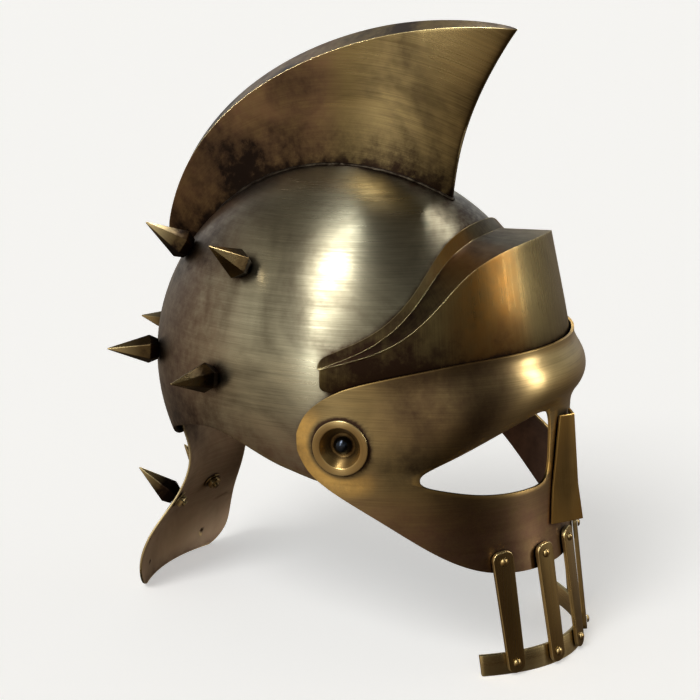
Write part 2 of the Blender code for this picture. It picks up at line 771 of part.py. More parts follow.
def set_down():
    """Sets the helmet on the floor with its length centred on the origin."""
    bpy.context.view_layer.update()
    depsgraph = bpy.context.evaluated_depsgraph_get()
    lengths = []
    for piece in parts.objects:
        if piece.type == "MESH":
            shape = piece.evaluated_get(depsgraph)
            lengths += [(shape.matrix_world @ vertex.co).y for vertex in shape.data.vertices]
    helmet.location = (0.0, -(min(lengths) + max(lengths)) / 2, RING_HEIGHT)


for old in list(bpy.data.objects):
    bpy.data.objects.remove(old, do_unlink=True)

parts = new_collection("gladiator_helmet")
cutters = new_collection("cutters")
brass = new_metal("antique_brass", (0.42, 0.32, 0.16), 0.34)
steel = new_metal("dark_steel", (0.06, 0.06, 0.07), 0.30)

helmet = bpy.data.objects.new("helmet", None)
parts.objects.link(helmet)

slab = bmesh.new()
bmesh.ops.create_cube(slab, size=1.0)
floor_slab = add_cutter(
    "floor_slab", finished_mesh(slab, "floor_slab"), Matrix.Translation((0, 0, FLOOR - 0.5))
)

helmet_bowl = make_bowl()
make_crest()
face_guard = make_face_guard()
make_frontlet()
make_nasal()
for bar_number in range(1, BAR_COUNT + 1):
    make_bar(bar_number)
make_chin_bar()
make_temple("right", -1, face_guard, helmet_bowl)
make_temple("left", 1, face_guard, helmet_bowl)
make_neck_guard()
make_spikes()
set_down()
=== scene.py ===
# Gladiator helmet of antique brushed brass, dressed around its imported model.
#
# Metres, +Z up, the face towards -Y, the wearer's right side at -X. Shapes are worked out from
# the middle of the bowl's widest ring, and each piece is moved there before it is finished.
import math

import bpy
from mathutils import Matrix, Vector, noise


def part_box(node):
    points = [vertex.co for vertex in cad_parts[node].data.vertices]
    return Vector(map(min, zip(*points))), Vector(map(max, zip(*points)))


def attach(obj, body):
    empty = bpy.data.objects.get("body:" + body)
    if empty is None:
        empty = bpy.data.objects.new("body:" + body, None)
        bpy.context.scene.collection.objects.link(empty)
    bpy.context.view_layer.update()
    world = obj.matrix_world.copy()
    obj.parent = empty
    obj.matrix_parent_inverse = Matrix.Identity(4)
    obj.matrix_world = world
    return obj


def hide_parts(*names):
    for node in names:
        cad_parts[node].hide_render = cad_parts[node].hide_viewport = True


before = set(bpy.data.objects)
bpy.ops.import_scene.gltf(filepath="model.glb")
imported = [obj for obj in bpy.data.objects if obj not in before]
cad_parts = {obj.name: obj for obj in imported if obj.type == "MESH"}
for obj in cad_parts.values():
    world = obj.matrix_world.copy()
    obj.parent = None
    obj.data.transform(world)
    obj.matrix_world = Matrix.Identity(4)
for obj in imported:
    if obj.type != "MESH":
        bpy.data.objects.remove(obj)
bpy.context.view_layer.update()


# The bowl is the skull piece: sheet brass raised and planished into a deep egg, open below,
# arched over the ears, with a rounded tab at each temple. It was brushed round and round, which
# pulls its highlight into an upright band, then darkened and rubbed back.
BOWL_HALF_WIDTH = 0.102
BOWL_HALF_LENGTH = 0.122
BOWL_RISE = 0.119
BOWL_WALL = 0.0015
BOWL_SKIRT = 0.056
BOWL_SEGMENTS = 176
BOWL_RINGS = 64
GAP = 0.0003
WELD = 0.00001
BOWL_EDGE = (
    (0, -0.20), (40, -0.06), (56, 0.62), (70, 0.84), (86, 0.70),
    (108, 0.42), (132, 0.60), (156, 0.92), (180, 1.00),
)

bowl_low, bowl_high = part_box("bowl")
ring_middle = Vector((0.0, bowl_high.y - BOWL_HALF_LENGTH, bowl_high.z - BOWL_RISE))
FLOOR = -ring_middle.z
UP = Vector((0.0, 0.0, 1.0))


def from_hex(code):
    """An sRGB hex colour as the linear one that shaders take."""
    shares = [int(code[at:at + 2], 16) / 255 for at in (1, 3, 5)]
    linear = [
        share / 12.92 if share <= 0.04045 else ((share + 0.055) / 1.055) ** 2.4
        for share in shares
    ]
    return (*linear, 1.0)


def add_node(tree, kind, settings=None, links=None, out=0):
    """Adds a shader node, with settings by name or input and links by input; gives an output.
    A node that is there already, such as the shader, is only set and linked."""
    node = tree.nodes.new("ShaderNode" + kind) if isinstance(kind, str) else kind
    for name, value in (settings or {}).items():
        if name == "stops":
            while len(node.color_ramp.elements) < len(value):
                node.color_ramp.elements.new(0.5)
            for element, (at, colour) in zip(node.color_ramp.elements, value):
                element.position = at
                element.color = colour
        elif name == "range":
            for end, number in zip(("From Min", "From Max", "To Min", "To Max"), value):
                node.inputs[end].default_value = number
        elif isinstance(name, str) and hasattr(node, name):
            setattr(node, name, value)
        else:
            node.inputs[name].default_value = value
    for name, source in (links or {}).items():
        tree.links.new(source, node.inputs[name])
    return node.outputs[out]


def start_material(name):
    material = bpy.data.materials.new(name)
    material.use_nodes = True
    tree = material.node_tree
    return material, tree, tree.nodes["Principled BSDF"]


def brushed_brass(
    name, bright, olive, tarnish_and_shade_colour, brushing=1.0, gloss=0.30, patina=0.5, copper="#86634E",
    bare="#D8C08A",
):
    """Sheet brass, brushed along the u of its 'brushing' map, then darkened by tarnishing and
    painted shade, and rubbed back.
    """
    metal, tree, shader = start_material(name)
    place = add_node(tree, "TexCoord", out="Object")
    along = add_node(tree, "UVMap", {"uv_map": "brushing"})

    # Scratches of the brush: really about 0.15 mm apart, drawn at 0.6 mm so that they show
    fine_way = add_node(tree, "Mapping", {"Scale": (24, 1700, 1)}, {"Vector": along})
    fine = add_node(
        tree, "TexNoise", {"Scale": 1.0, "Detail": 5.0, "Roughness": 0.65}, {"Vector": fine_way}
    )
    # Longer marks of the brush, 3 mm wide
    band_way = add_node(tree, "Mapping", {"Scale": (7, 330, 1)}, {"Vector": along})
    bands = add_node(
        tree, "TexNoise", {"Scale": 1.0, "Detail": 5.0, "Roughness": 0.7}, {"Vector": band_way}
    )
    # Where the lacquer darkened the brass: clouds 50 to 90 mm across, mottled at 8 mm
    clouds = add_node(
        tree, "TexNoise", {"Scale": 14.0, "Detail": 4.0, "Roughness": 0.55, "Distortion": 0.8},
        {"Vector": place},
    )
    mottle = add_node(
        tree, "TexNoise", {"Scale": 120.0, "Detail": 8.0, "Roughness": 0.72}, {"Vector": place}
    )
    # Darker within 12 mm of other surfaces: partly tarnishing that the rubbing cloth doesn't
    # reach, partly painted shade
    corner = add_node(tree, "AmbientOcclusion", {"samples": 12, "Distance": 0.012}, out="AO")
    hollow_tarnish_and_shade = add_node(tree, "MapRange", {"range": (0.35, 0.90, 1.0, 0.0)}, {"Value": corner})
    # Where a piece's mark is above 0 it darkens the brass: tarnishing, and on most pieces painted
    # shade and painted dark reflections
    wear = add_node(tree, "Attribute", {"attribute_name": "wear"}, out="Fac")
    tarnish_and_shade = add_node(tree, "Math", {"operation": "MAXIMUM", 1: 0.0}, {0: wear})
    cloud_share = add_node(
        tree, "MapRange", {"range": (0.47, 0.72, 0.0, patina)}, {"Value": clouds}
    )
    patina_and_shade = add_node(tree, "Math", {"operation": "ADD"}, {0: cloud_share, 1: tarnish_and_shade})
    all_patina_and_shade = add_node(tree, "Math", {"operation": "ADD"}, {0: patina_and_shade, 1: hollow_tarnish_and_shade})
    spots = add_node(tree, "MapRange", {"range": (0.34, 0.66, 0.55, 1.20)}, {"Value": mottle})
    dark = add_node(
        tree, "Math", {"operation": "MULTIPLY", "use_clamp": True}, {0: all_patina_and_shade, 1: spots}
    )

    # Olive where the lacquer is thin, gold where it is gone, in streaks along the brushing
    lines = add_node(tree, "Math", {"operation": "MULTIPLY_ADD", 1: 0.45, 2: -0.22}, {0: fine})
    streaks = add_node(tree, "Math", {"operation": "MULTIPLY_ADD", 1: 0.45}, {0: bands, 2: lines})
    streaked = add_node(
        tree, "Math", {"operation": "MULTIPLY_ADD", 1: 0.75}, {0: clouds, 2: streaks}
    )
    tone = add_node(tree, "MapRange", {"range": (0.45, 0.75)}, {"Value": streaked})
    rubbed = add_node(
        tree, "Mix", {"data_type": "RGBA", 6: from_hex(bright), 7: from_hex(olive)},
        {0: tone}, out=2,
    )
    # A coppery tint where heat drew the zinc out; on the forehead plate and over the eyes it
    # paints a warm reflection
    blush = add_node(tree, "Attribute", {"attribute_name": "blush"}, out="Fac")
    tinted = add_node(
        tree, "Math", {"operation": "MULTIPLY", "use_clamp": True}, {0: blush, 1: spots}
    )
    warmed = add_node(
        tree, "Mix", {"data_type": "RGBA", 7: from_hex(copper)}, {0: tinted, 6: rubbed}, out=2
    )
    darkened_colour = add_node(
        tree, "Mix", {"data_type": "RGBA", 7: from_hex(tarnish_and_shade_colour)}, {0: dark, 6: warmed}, out=2
    )
    # Edges and ridges are rubbed bright, and so is what hands and cloths reach most
    ridge = add_node(tree, "NewGeometry", out="Pointiness")
    ridge_worn = add_node(tree, "MapRange", {"range": (0.510, 0.560, 0.0, 0.9)}, {"Value": ridge})
    clean = add_node(
        tree, "Math", {"operation": "MULTIPLY_ADD", 1: -1.6, 2: 1.0, "use_clamp": True}, {0: tarnish_and_shade}
    )
    edge_worn = add_node(tree, "Math", {"operation": "MULTIPLY"}, {0: ridge_worn, 1: clean})
    bared = add_node(tree, "Math", {"operation": "MULTIPLY", 1: -1.0}, {0: wear})
    grainy = add_node(
        tree, "Math", {"operation": "MULTIPLY", "use_clamp": True}, {0: bared, 1: spots}
    )
    worn = add_node(tree, "Math", {"operation": "MAXIMUM"}, {0: edge_worn, 1: grainy})
    colour = add_node(
        tree, "Mix", {"data_type": "RGBA", 7: from_hex(bare)}, {0: worn, 6: darkened_colour}, out=2
    )

    band_gloss = add_node(
        tree, "MapRange", {"range": (0.3, 0.7, gloss - 0.03, gloss + 0.05)}, {"Value": bands}
    )
    dark_gloss = add_node(
        tree, "Math", {"operation": "MULTIPLY_ADD", 1: 0.20}, {0: dark, 2: band_gloss}
    )

    # Planishing leaves the sheet a little uneven, in soft dents 30 mm across
    dents = add_node(tree, "TexNoise", {"Scale": 26.0, "Detail": 1.0}, {"Vector": place})
    uneven = add_node(tree, "Bump", {"Strength": 0.35, "Distance": 0.0012}, {"Height": dents})
    # Tarnish is a thin crust that stands a few hundredths of a millimetre proud
    crusted = add_node(
        tree, "Bump", {"Strength": 0.25, "Distance": 0.0002}, {"Height": dark, "Normal": uneven}
    )
    scratched = add_node(
        tree, "Bump", {"Strength": 0.08 * brushing, "Distance": 0.0004},
        {"Height": fine, "Normal": crusted},
    )
    way = add_node(tree, "Tangent", {"direction_type": "UV_MAP", "uv_map": "brushing"})
    add_node(
        tree, shader, {"Metallic": 1.0, "Anisotropic": 0.75, "Anisotropic Rotation": 0.25},
        {"Base Color": colour, "Roughness": dark_gloss, "Normal": scratched, "Tangent": way},
    )
    return metal


def blend(rows, at):
    """Reads a table smoothly: its first column is the place, the others are the values."""
    places = [row[0] for row in rows]
    last = len(rows) - 1
    at = min(max(at, places[0]), places[last])
    low = max(index for index in range(last) if places[index] <= at)
    span = places[low + 1] - places[low]
    share = (at - places[low]) / span

    def slope(index, column):
        before = max(index - 1, 0)
        after = min(index + 1, last)
        return (rows[after][column] - rows[before][column]) / (places[after] - places[before])

    values = []
    for column in range(1, len(rows[0])):
        value = rows[low][column] * (2 * share ** 3 - 3 * share ** 2 + 1)
        value += slope(low, column) * span * (share ** 3 - 2 * share ** 2 + share)
        value += rows[low + 1][column] * (3 * share ** 2 - 2 * share ** 3)
        value += slope(low + 1, column) * span * (share ** 3 - share ** 2)
        values.append(value)
    return values


def bowl_edge(angle):
    degrees = abs(math.degrees(math.atan2(math.sin(angle), math.cos(angle))))
    return -BOWL_SKIRT * blend(BOWL_EDGE, degrees)[0]


def bowl_point(angle, height, out=0.0):
    """A point of the bowl at an angle from the front and a height, out from its outer face."""
    rise = BOWL_RISE + out
    girth = math.sqrt(max(1 - (height / rise) ** 2, 0.0))
    across = (BOWL_HALF_WIDTH + out) * girth * math.sin(angle)
    along = -(BOWL_HALF_LENGTH + out) * girth * math.cos(angle)
    return Vector((across, along, height))


def bowl_normal(point):
    return Vector((
        point.x / BOWL_HALF_WIDTH ** 2,
        point.y / BOWL_HALF_LENGTH ** 2,
        point.z / BOWL_RISE ** 2,
    )).normalized()


def name_piece(name):
    piece = bpy.context.object
    piece.name = name
    piece.data.name = name
    return piece


def start_piece(name, primitive, **settings):
    """Adds a primitive with nothing else selected, and names it."""
    bpy.ops.object.select_all(action="DESELECT")
    primitive(**settings)
    return name_piece(name)


def open_mesh():
    bpy.ops.object.mode_set(mode="EDIT")


def close_mesh():
    bpy.ops.object.mode_set(mode="OBJECT")


def pick(piece):
    """Selects one piece alone."""
    bpy.ops.object.select_all(action="DESELECT")
    bpy.context.view_layer.objects.active = piece
    piece.select_set(True)


def apply_modifier(piece, name, kind, **settings):
    modifier = piece.modifiers.new(name, kind)
    for key, value in settings.items():
        setattr(modifier, key, value)
    pick(piece)
    bpy.ops.object.modifier_apply(modifier=name)


def round_edges(piece, width, segments, degrees, **settings):
    """Rounds the edges that turn by more than some degrees."""
    apply_modifier(
        piece, "rounded_edges", "BEVEL", width=width, segments=segments, limit_method="ANGLE",
        angle_limit=math.radians(degrees), **settings,
    )


def thicken(piece, wall, inner=0):
    """Gives a sheet its wall, inwards from its outer face, with a rounded rim."""
    apply_modifier(
        piece, "wall", "SOLIDIFY", thickness=wall, offset=-1.0, use_even_offset=True,
        material_offset=inner,
    )
    round_edges(piece, wall * 0.24, 2, 50)


def lay_brushing(piece, read):
    """Maps the brush's way on a piece: read(point) gives metres along it and across it."""
    layer = piece.data.uv_layers.new(name="brushing")
    for face in piece.data.polygons:
        marks = [read(piece.data.vertices[index].co - ring_middle) for index in face.vertices]
        for loop, mark in zip(face.loop_indices, marks):
            layer.data[loop].uv = mark


def smooth_step(value, low, high):
    share = max(0.0, min((value - low) / (high - low), 1.0))
    return share * share * (3 - 2 * share)


FOLD_WEAR = -0.95


def lay_wear_and_shade(piece, read):
    """Marks worn, shaded and coppery places: read(point, normal) gives from -1, rubbed to bare
    gold, to 1, left dark by tarnishing and by painted shade, and how coppery the brass is there,
    partly a painted reflection."""
    piece.data.attributes.new("wear", "FLOAT", "POINT")
    piece.data.attributes.new("blush", "FLOAT", "POINT")
    layers = piece.data.attributes
    fold = layers.get("fold")
    for vertex in piece.data.vertices:
        wear, blush = read(vertex.co - ring_middle, vertex.normal)
        if fold and fold.data[vertex.index].value > 0.5:
            wear = FOLD_WEAR
        layers["wear"].data[vertex.index].value = wear
        layers["blush"].data[vertex.index].value = blush


def above_bowl(point):
    """Roughly how far a point lies outside the bowl's outer face."""
    shares = (point.x / BOWL_HALF_WIDTH, point.y / BOWL_HALF_LENGTH, point.z / BOWL_RISE)
    return (Vector(shares).length - 1) * BOWL_RISE


def finish_piece(piece, metals, node, sharp=40.0):
    """Shades a finished piece, gives it its metals and puts it in its node's place."""
    pick(piece)
    bpy.ops.object.transform_apply(location=True, rotation=True, scale=True)
    bpy.ops.object.shade_smooth_by_angle(angle=math.radians(sharp))
    while len(piece.data.materials) < len(metals):
        piece.data.materials.append(None)
    for at, metal in enumerate(metals):
        piece.data.materials[at] = metal
    if node:
        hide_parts(node)
    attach(piece, "root")


bowl = start_piece(
    "raised_bowl", bpy.ops.mesh.primitive_uv_sphere_add, segments=BOWL_SEGMENTS,
    ring_count=BOWL_RINGS + 1, radius=1.0,
)
open_mesh()
bpy.ops.mesh.select_all(action="DESELECT")
close_mesh()
for vertex in bowl.data.vertices:
    vertex.select = vertex.co.z < WELD - 1
open_mesh()
bpy.ops.mesh.delete(type="VERT")
close_mesh()
for vertex in bowl.data.vertices:
    ring = round(math.acos(max(-1.0, min(vertex.co.z, 1.0))) / math.pi * (BOWL_RINGS + 1))
    angle = math.atan2(vertex.co.x, -vertex.co.y)
    lowest = math.acos(bowl_edge(angle) / BOWL_RISE)
    vertex.co = bowl_point(angle, BOWL_RISE * math.cos(lowest * ring / BOWL_RINGS)) + ring_middle
bowl.data.materials.append(None)
bowl.data.materials.append(None)
thicken(bowl, BOWL_WALL, inner=1)


def round_the_bowl(point):
    angle = math.atan2(point.x, -point.y)
    fall = math.acos(max(-1.0, min(point.z / BOWL_RISE, 1.0)))
    return angle * BOWL_HALF_LENGTH, fall * BOWL_RISE


lay_brushing(bowl, round_the_bowl)
for face in bowl.data.polygons:
    marks = [bowl.data.uv_layers["brushing"].data[loop] for loop in face.loop_indices]
    if max(mark.uv.x for mark in marks) - min(mark.uv.x for mark in marks) > BOWL_HALF_LENGTH:
        for mark in marks:
            if mark.uv.x < 0:
                mark.uv.x += 2 * math.pi * BOWL_HALF_LENGTH


def bowl_wear_and_shade(point, normal):
    """Painted shade along the lower edge, beside the crest's foot and behind the forehead plate;
    darker behind, and coppery low down and behind."""
    angle = math.atan2(point.x, -point.y)
    edge = 1 - smooth_step(point.z - bowl_edge(angle), 0.0, 0.030)
    crest_side_shade = 1 - smooth_step(abs(point.x), 0.010, 0.034)
    crest_side_shade *= smooth_step(point.z, 0.03, 0.07)
    front = smooth_step(-point.y, 0.055, 0.100) * smooth_step(point.z, -0.01, 0.03)
    behind = smooth_step(point.y, 0.005, 0.075)
    low = 1 - smooth_step(point.z, -0.050, 0.005)
    dark = 0.35 * edge + 0.6 * crest_side_shade + 0.35 * front + 0.58 * behind
    return dark, 0.75 * max(behind, low)


lay_wear_and_shade(bowl, bowl_wear_and_shade)
bowl_brass = brushed_brass(
    "brushed_antique_brass", "#A9A187", "#7A745F", "#3A2A1E", gloss=0.27, patina=0.62
)
# Inside, the brass was never brushed: the heat of raising it left a dull purple brown, darkened
# nearly to black as painted shade for the helmet's dark inside
inner_brass = brushed_brass(
    "fire_stained_shaded_brass", "#47362F", "#382A26", "#1E1615", brushing=0.3, gloss=0.46, patina=0.7
)
finish_piece(bowl, (bowl_brass, inner_brass), "bowl")


# The crest is a hollow fin: two bowed side walls and a narrow top plate, folded and soldered
# along sharp edges, high and pointed in front, running low behind. It stands on the bowl on a
# dark soldered seam.
CREST_LIFT = 0.101
CREST_CROWN = 0.008
CREST_HALF_WIDTH = 0.016
CREST_FOOT_WIDTH_SHARE = 0.82
CREST_WALL = 0.0012
CREST_FOLD = 0.0022
CREST_FRONT_HOLLOW = 0.010
CREST_SINK = 0.006
CREST_RIBS = (
    (0.00, -34.0, -27.0, 1.000, 0.16), (0.15, -20.0, -15.5, 0.845, 0.62),
    (0.30, -6.0, -3.0, 0.690, 0.90), (0.45, 8.0, 10.0, 0.565, 1.00),
    (0.60, 22.0, 24.0, 0.470, 0.96), (0.75, 36.0, 38.0, 0.385, 0.82),
    (0.90, 51.0, 53.0, 0.290, 0.54), (1.00, 60.0, 63.0, 0.200, 0.20),
)
CREST_COLUMNS = (0.0, 0.012, 0.09, 0.22, 0.36, 0.51, 0.66, 0.81, 0.94, 0.988, 1.0)
CREST_WALL_ROWS = 3
CREST_TOP_ROWS = 2


def mark_folds(mesh):
    """Marks the middle of each rounded fold, whose faces the bevel put in the third slot."""
    fold = mesh.attributes.new("fold", "FLOAT", "POINT")
    for face in mesh.polygons:
        if face.material_index == 2:
            for index in face.vertices:
                fold.data[index].value = 1.0
    for face in mesh.polygons:
        if face.material_index != 2:
            for index in face.vertices:
                fold.data[index].value = 0.0
        face.material_index = 0


def bend_sheet(name, cells_across, cells_up, place, is_open=None, folds=(), bend=0.0, smooth=3):
    """Bends a flat grid to place(column, row), cuts out the cells that is_open names, welds
    where its corners meet, smooths the form and rounds its folds to a bend's radius."""
    sheet = start_piece(
        name, bpy.ops.mesh.primitive_grid_add, x_subdivisions=cells_across,
        y_subdivisions=cells_up, size=2.0,
    )
    mesh = sheet.data
    columns = [round((vertex.co.x + 1) / 2 * cells_across) for vertex in mesh.vertices]
    rows = [round((vertex.co.y + 1) / 2 * cells_up) for vertex in mesh.vertices]
    creases = mesh.attributes.new("crease_edge", "FLOAT", "EDGE")
    for edge in mesh.edges:
        edge_rows = {rows[index] for index in edge.vertices}
        if len(edge_rows) == 1 and edge_rows.pop() in folds:
            creases.data[edge.index].value = 1.0
    for vertex in mesh.vertices:
        vertex.co = place(columns[vertex.index], rows[vertex.index]) + ring_middle
    open_mesh()
    bpy.ops.mesh.select_all(action="DESELECT")
    bpy.ops.mesh.select_mode(type="FACE")
    close_mesh()
    if is_open:
        for face in mesh.polygons:
            column = min(columns[index] for index in face.vertices)
            row = min(rows[index] for index in face.vertices)
            face.select = is_open(column, row)
    open_mesh()
    if is_open:
        bpy.ops.mesh.delete(type="FACE")
    bpy.ops.mesh.select_all(action="SELECT")
    bpy.ops.mesh.remove_doubles(threshold=WELD)
    close_mesh()
    if smooth:
        apply_modifier(sheet, "smooth_form", "SUBSURF", levels=smooth, render_levels=smooth)
    for _ in ("outer", "inner", "fold"):
        mesh.materials.append(None)
    if bend:
        round_edges(sheet, bend, 4, 14, offset_type="WIDTH", material=2)
        mark_folds(mesh)
    mesh.materials.pop()
    return sheet


def crest_end(degrees, out):
    turn = math.radians(degrees)
    along = (BOWL_HALF_LENGTH + out) * math.sin(turn)
    return Vector((0.0, along, (BOWL_RISE + out) * math.cos(turn)))


def crest_place(column, row):
    last = len(CREST_COLUMNS) - 1
    share = CREST_COLUMNS[last - column]
    foot_deg, top_deg, lift, width = blend(CREST_RIBS, share)
    if column in (0, last):
        width = 0.0
    climbed = min(row, 2 * CREST_WALL_ROWS + CREST_TOP_ROWS - row) / CREST_WALL_ROWS
    climb = min(climbed, 1.0)
    side = (row - CREST_WALL_ROWS) / CREST_TOP_ROWS * 2 - 1
    side = max(-1.0, min(side, 1.0))
    crown = CREST_CROWN * width * (1 - abs(side))
    foot = crest_end(foot_deg, -CREST_SINK)
    point = foot.lerp(crest_end(top_deg, lift * CREST_LIFT + crown), climb)
    point.y += CREST_FRONT_HOLLOW * math.sin(math.pi * climb) * (1 - share) ** 3
    fullness = CREST_FOOT_WIDTH_SHARE + (1 - CREST_FOOT_WIDTH_SHARE) * climb
    point.x = side * width * CREST_HALF_WIDTH * fullness
    return point


def cut_away(piece, cutter):
    """Takes the cutter's shape out of a piece, and throws the cutter away."""
    apply_modifier(
        piece, "cut", "BOOLEAN", operation="DIFFERENCE", solver="EXACT", object=cutter
    )
    bpy.data.objects.remove(cutter, do_unlink=True)


crest_rims = range(CREST_WALL_ROWS, CREST_WALL_ROWS + CREST_TOP_ROWS + 1)
crest = bend_sheet(
    "fin_crest", len(CREST_COLUMNS) - 1, 2 * CREST_WALL_ROWS + CREST_TOP_ROWS, crest_place,
    folds=crest_rims, bend=CREST_FOLD, smooth=4,
)
thicken(crest, CREST_WALL, inner=1)
skull_form = start_piece(
    "skull_form", bpy.ops.mesh.primitive_uv_sphere_add, segments=160, ring_count=96, radius=1.0,
    location=ring_middle,
)
skull_form.scale = (BOWL_HALF_WIDTH + GAP, BOWL_HALF_LENGTH + GAP, BOWL_RISE + GAP)
cut_away(crest, skull_form)


def along_the_crest(point):
    turn = math.atan2(point.y, point.z)
    return turn * (BOWL_RISE + CREST_LIFT / 2), Vector((point.y, point.z)).length


def crest_wear_and_shade(point, normal):
    """Darkest at the soldered foot, thinning out 50 mm up the walls; on the top plate, which
    looks up, a painted dark reflection; a little darker and coppery behind."""
    foot = 1 - smooth_step(above_bowl(point), 0.003, 0.050)
    # Painted dark reflection on the top plate, which looks up
    upwards = normal.dot(Vector((0.0, point.y, point.z)).normalized())
    top = smooth_step(upwards, 0.75, 0.92)
    behind = smooth_step(point.y, -0.005, 0.015)
    return max(0.7 * foot, 0.95 * top, 0.22 * behind), 0.1 + 0.5 * behind


lay_brushing(crest, along_the_crest)
lay_wear_and_shade(crest, crest_wear_and_shade)
pick(crest)
bpy.ops.object.duplicate()
solder = name_piece("crest_solder")
crest_brass = brushed_brass(
    "crest_antique_brass", "#8E7B50", "#574A2C", "#20160F", patina=0.8, gloss=0.26,
    bare="#F2DDA4",
)
finish_piece(crest, (crest_brass, inner_brass), "crest")


# The crest is held by a bead of soft solder, run round its foot where it was cut to the bowl. It
# is taken from a copy of the crest, whose lower rim it follows, and is a little uneven.
SOLDER_RADIUS = 0.0011
SOLDER_UNEVENNESS = 0.35
SOLDER_WELD = 0.0003
SOLDER_REACH = 0.001
SOLDER_LUMPS = 140
SOLDER_GRAINS = 420
pick(solder)
for vertex in solder.data.vertices:
    point = vertex.co - ring_middle
    shares = (
        point.x / (BOWL_HALF_WIDTH + GAP), point.y / (BOWL_HALF_LENGTH + GAP),
        point.z / (BOWL_RISE + GAP),
    )
    vertex.select = abs(Vector(shares).length - 1) < SOLDER_REACH
for edge in solder.data.edges:
    edge.select = False
for face in solder.data.polygons:
    face.select = all(solder.data.vertices[index].select for index in face.vertices)
open_mesh()
bpy.ops.mesh.select_mode(type="FACE")
bpy.ops.mesh.region_to_loop()
bpy.ops.mesh.select_all(action="INVERT")
bpy.ops.mesh.delete(type="EDGE")
bpy.ops.mesh.select_all(action="SELECT")
bpy.ops.mesh.delete(type="ONLY_FACE")
bpy.ops.mesh.select_all(action="SELECT")
bpy.ops.mesh.remove_doubles(threshold=SOLDER_WELD)
close_mesh()
bpy.ops.object.convert(target="CURVE")
solder.data.bevel_depth = SOLDER_RADIUS
solder.data.bevel_resolution = 3
bpy.ops.object.convert(target="MESH")
for vertex in solder.data.vertices:
    uneven = noise.noise(vertex.co * SOLDER_LUMPS)
    uneven += 0.5 * noise.noise(vertex.co * SOLDER_GRAINS)
    vertex.co += vertex.normal * SOLDER_RADIUS * SOLDER_UNEVENNESS * uneven

# Soft solder, gone dull and nearly black with flux and tarnish, with some grey left on top
solder_metal, solder_tree, solder_shader = start_material("tarnished_solder")
solder_place = add_node(solder_tree, "TexCoord", out="Object")
solder_crust = add_node(
    solder_tree, "TexNoise", {"Scale": 260.0, "Detail": 6.0, "Roughness": 0.65},
    {"Vector": solder_place},
)
solder_share = add_node(solder_tree, "MapRange", {"range": (0.40, 0.66)}, {"Value": solder_crust})
solder_colour = add_node(
    solder_tree, "Mix", {"data_type": "RGBA", 6: from_hex("#1A130E"), 7: from_hex("#3E372D")},
    {0: solder_share}, out=2,
)
solder_bump = add_node(
    solder_tree, "Bump", {"Strength": 0.5, "Distance": 0.0004}, {"Height": solder_crust}
)
add_node(
    solder_tree, solder_shader, {"Metallic": 1.0, "Roughness": 0.48},
    {"Base Color": solder_colour, "Normal": solder_bump},
)
finish_piece(solder, (solder_metal,), None)


# The face guard is one mask plate, hammered over a stake: a rounded brow roll above two eye
# openings, cheeks that tuck in below, and a rounded lug back over each temple.
FACE_WALL = 0.0016
TEMPLE_STANDOFF = 0.0024
BROW_STANDOFF = 0.013
LUG_BACK = 0.020
BROW_TOP = 0.028
BROW_ROLL = 0.0085
EYE_DROP = 0.029
EYE_HALF_HEIGHT = 0.0215
FACE_DROP = 0.098
CHEEK_TUCK = 0.010
JAW_DROP = 0.066
JAW_LEAN_DEG = 9.0
PIVOT_AHEAD = 0.0455
PIVOT_DROP = 0.020
FACE_EDGES = (
    (0.00, 1.00, 1.00, 1.02, 1.00), (0.10, 1.00, 1.00, 1.06, 1.01),
    (0.26, 0.99, 0.84, 1.08, 1.01), (0.42, 0.96, 0.42, 0.98, 0.98),
    (0.56, 0.88, -0.06, 0.74, 0.88), (0.64, 0.78, -0.30, 0.60, 0.78),
    (0.74, 0.65, -0.22, 0.50, 0.65), (0.88, 0.38, 0.10, 0.32, 0.50),
    (0.93, 0.14, 0.30, 0.18, 0.44), (0.97, -0.10, 0.46, -0.02, 0.37),
    (0.99, -0.34, 0.50, -0.16, 0.30), (1.00, -0.52, 0.49, -0.30, 0.25),
)
FACE_COLUMNS = (
    0.0, 0.05, 0.10, 0.20, 0.31, 0.42, 0.52, 0.62, 0.74, 0.86, 0.93, 0.97, 0.99, 1.0,
)
EYE_FIRST_COLUMN = 2
EYE_LAST_COLUMN = 7
EYE_CORNER_SHARE = 0.63
CHEEK_ROWS = (0.0, 0.08, 0.50)
EYE_ROWS = (0.0, 0.5)
BROW_ROWS = (0.0, 0.14, 0.38, 0.66, 0.86, 1.0)
BROW_SWELL = (0.0, 0.60, 1.0, 0.72, 0.0, 0.0)
BROW_ROLL_FULL = 0.40
BROW_ROLL_END = 0.79


def face_plan(height):
    """Half width at the lugs and reach ahead of them, at a height."""
    tuck = max(-height - PIVOT_DROP, 0.0) / (FACE_DROP - PIVOT_DROP) * CHEEK_TUCK
    jut = max(-height - JAW_DROP, 0.0) * math.tan(math.radians(JAW_LEAN_DEG))
    half_width = BOWL_HALF_WIDTH + TEMPLE_STANDOFF - tuck
    return half_width, BOWL_HALF_LENGTH + BROW_STANDOFF - LUG_BACK + jut


def face_normal(share, height):
    angle = share * math.pi / 2
    half_width, reach = face_plan(height)
    return Vector((reach * math.sin(angle), -half_width * math.cos(angle), 0.0)).normalized()


def face_point(share, height, out=0.0):
    """share runs from 0 at the nose to 1 at a lug, and is negative on the wearer's right."""
    angle = share * math.pi / 2
    half_width, reach = face_plan(height)
    point = Vector((half_width * math.sin(angle), -LUG_BACK - reach * math.cos(angle), height))
    return point + out * face_normal(share, height)


def face_edges(share):
    """Heights of the top edge, upper lid, lower lid and lower rim."""
    top, lid, sill, rim = blend(FACE_EDGES, abs(share))
    upper_lid = -EYE_DROP + EYE_HALF_HEIGHT * lid
    lower_lid = -EYE_DROP - EYE_HALF_HEIGHT * sill
    return BROW_TOP * top, upper_lid, lower_lid, -FACE_DROP * rim


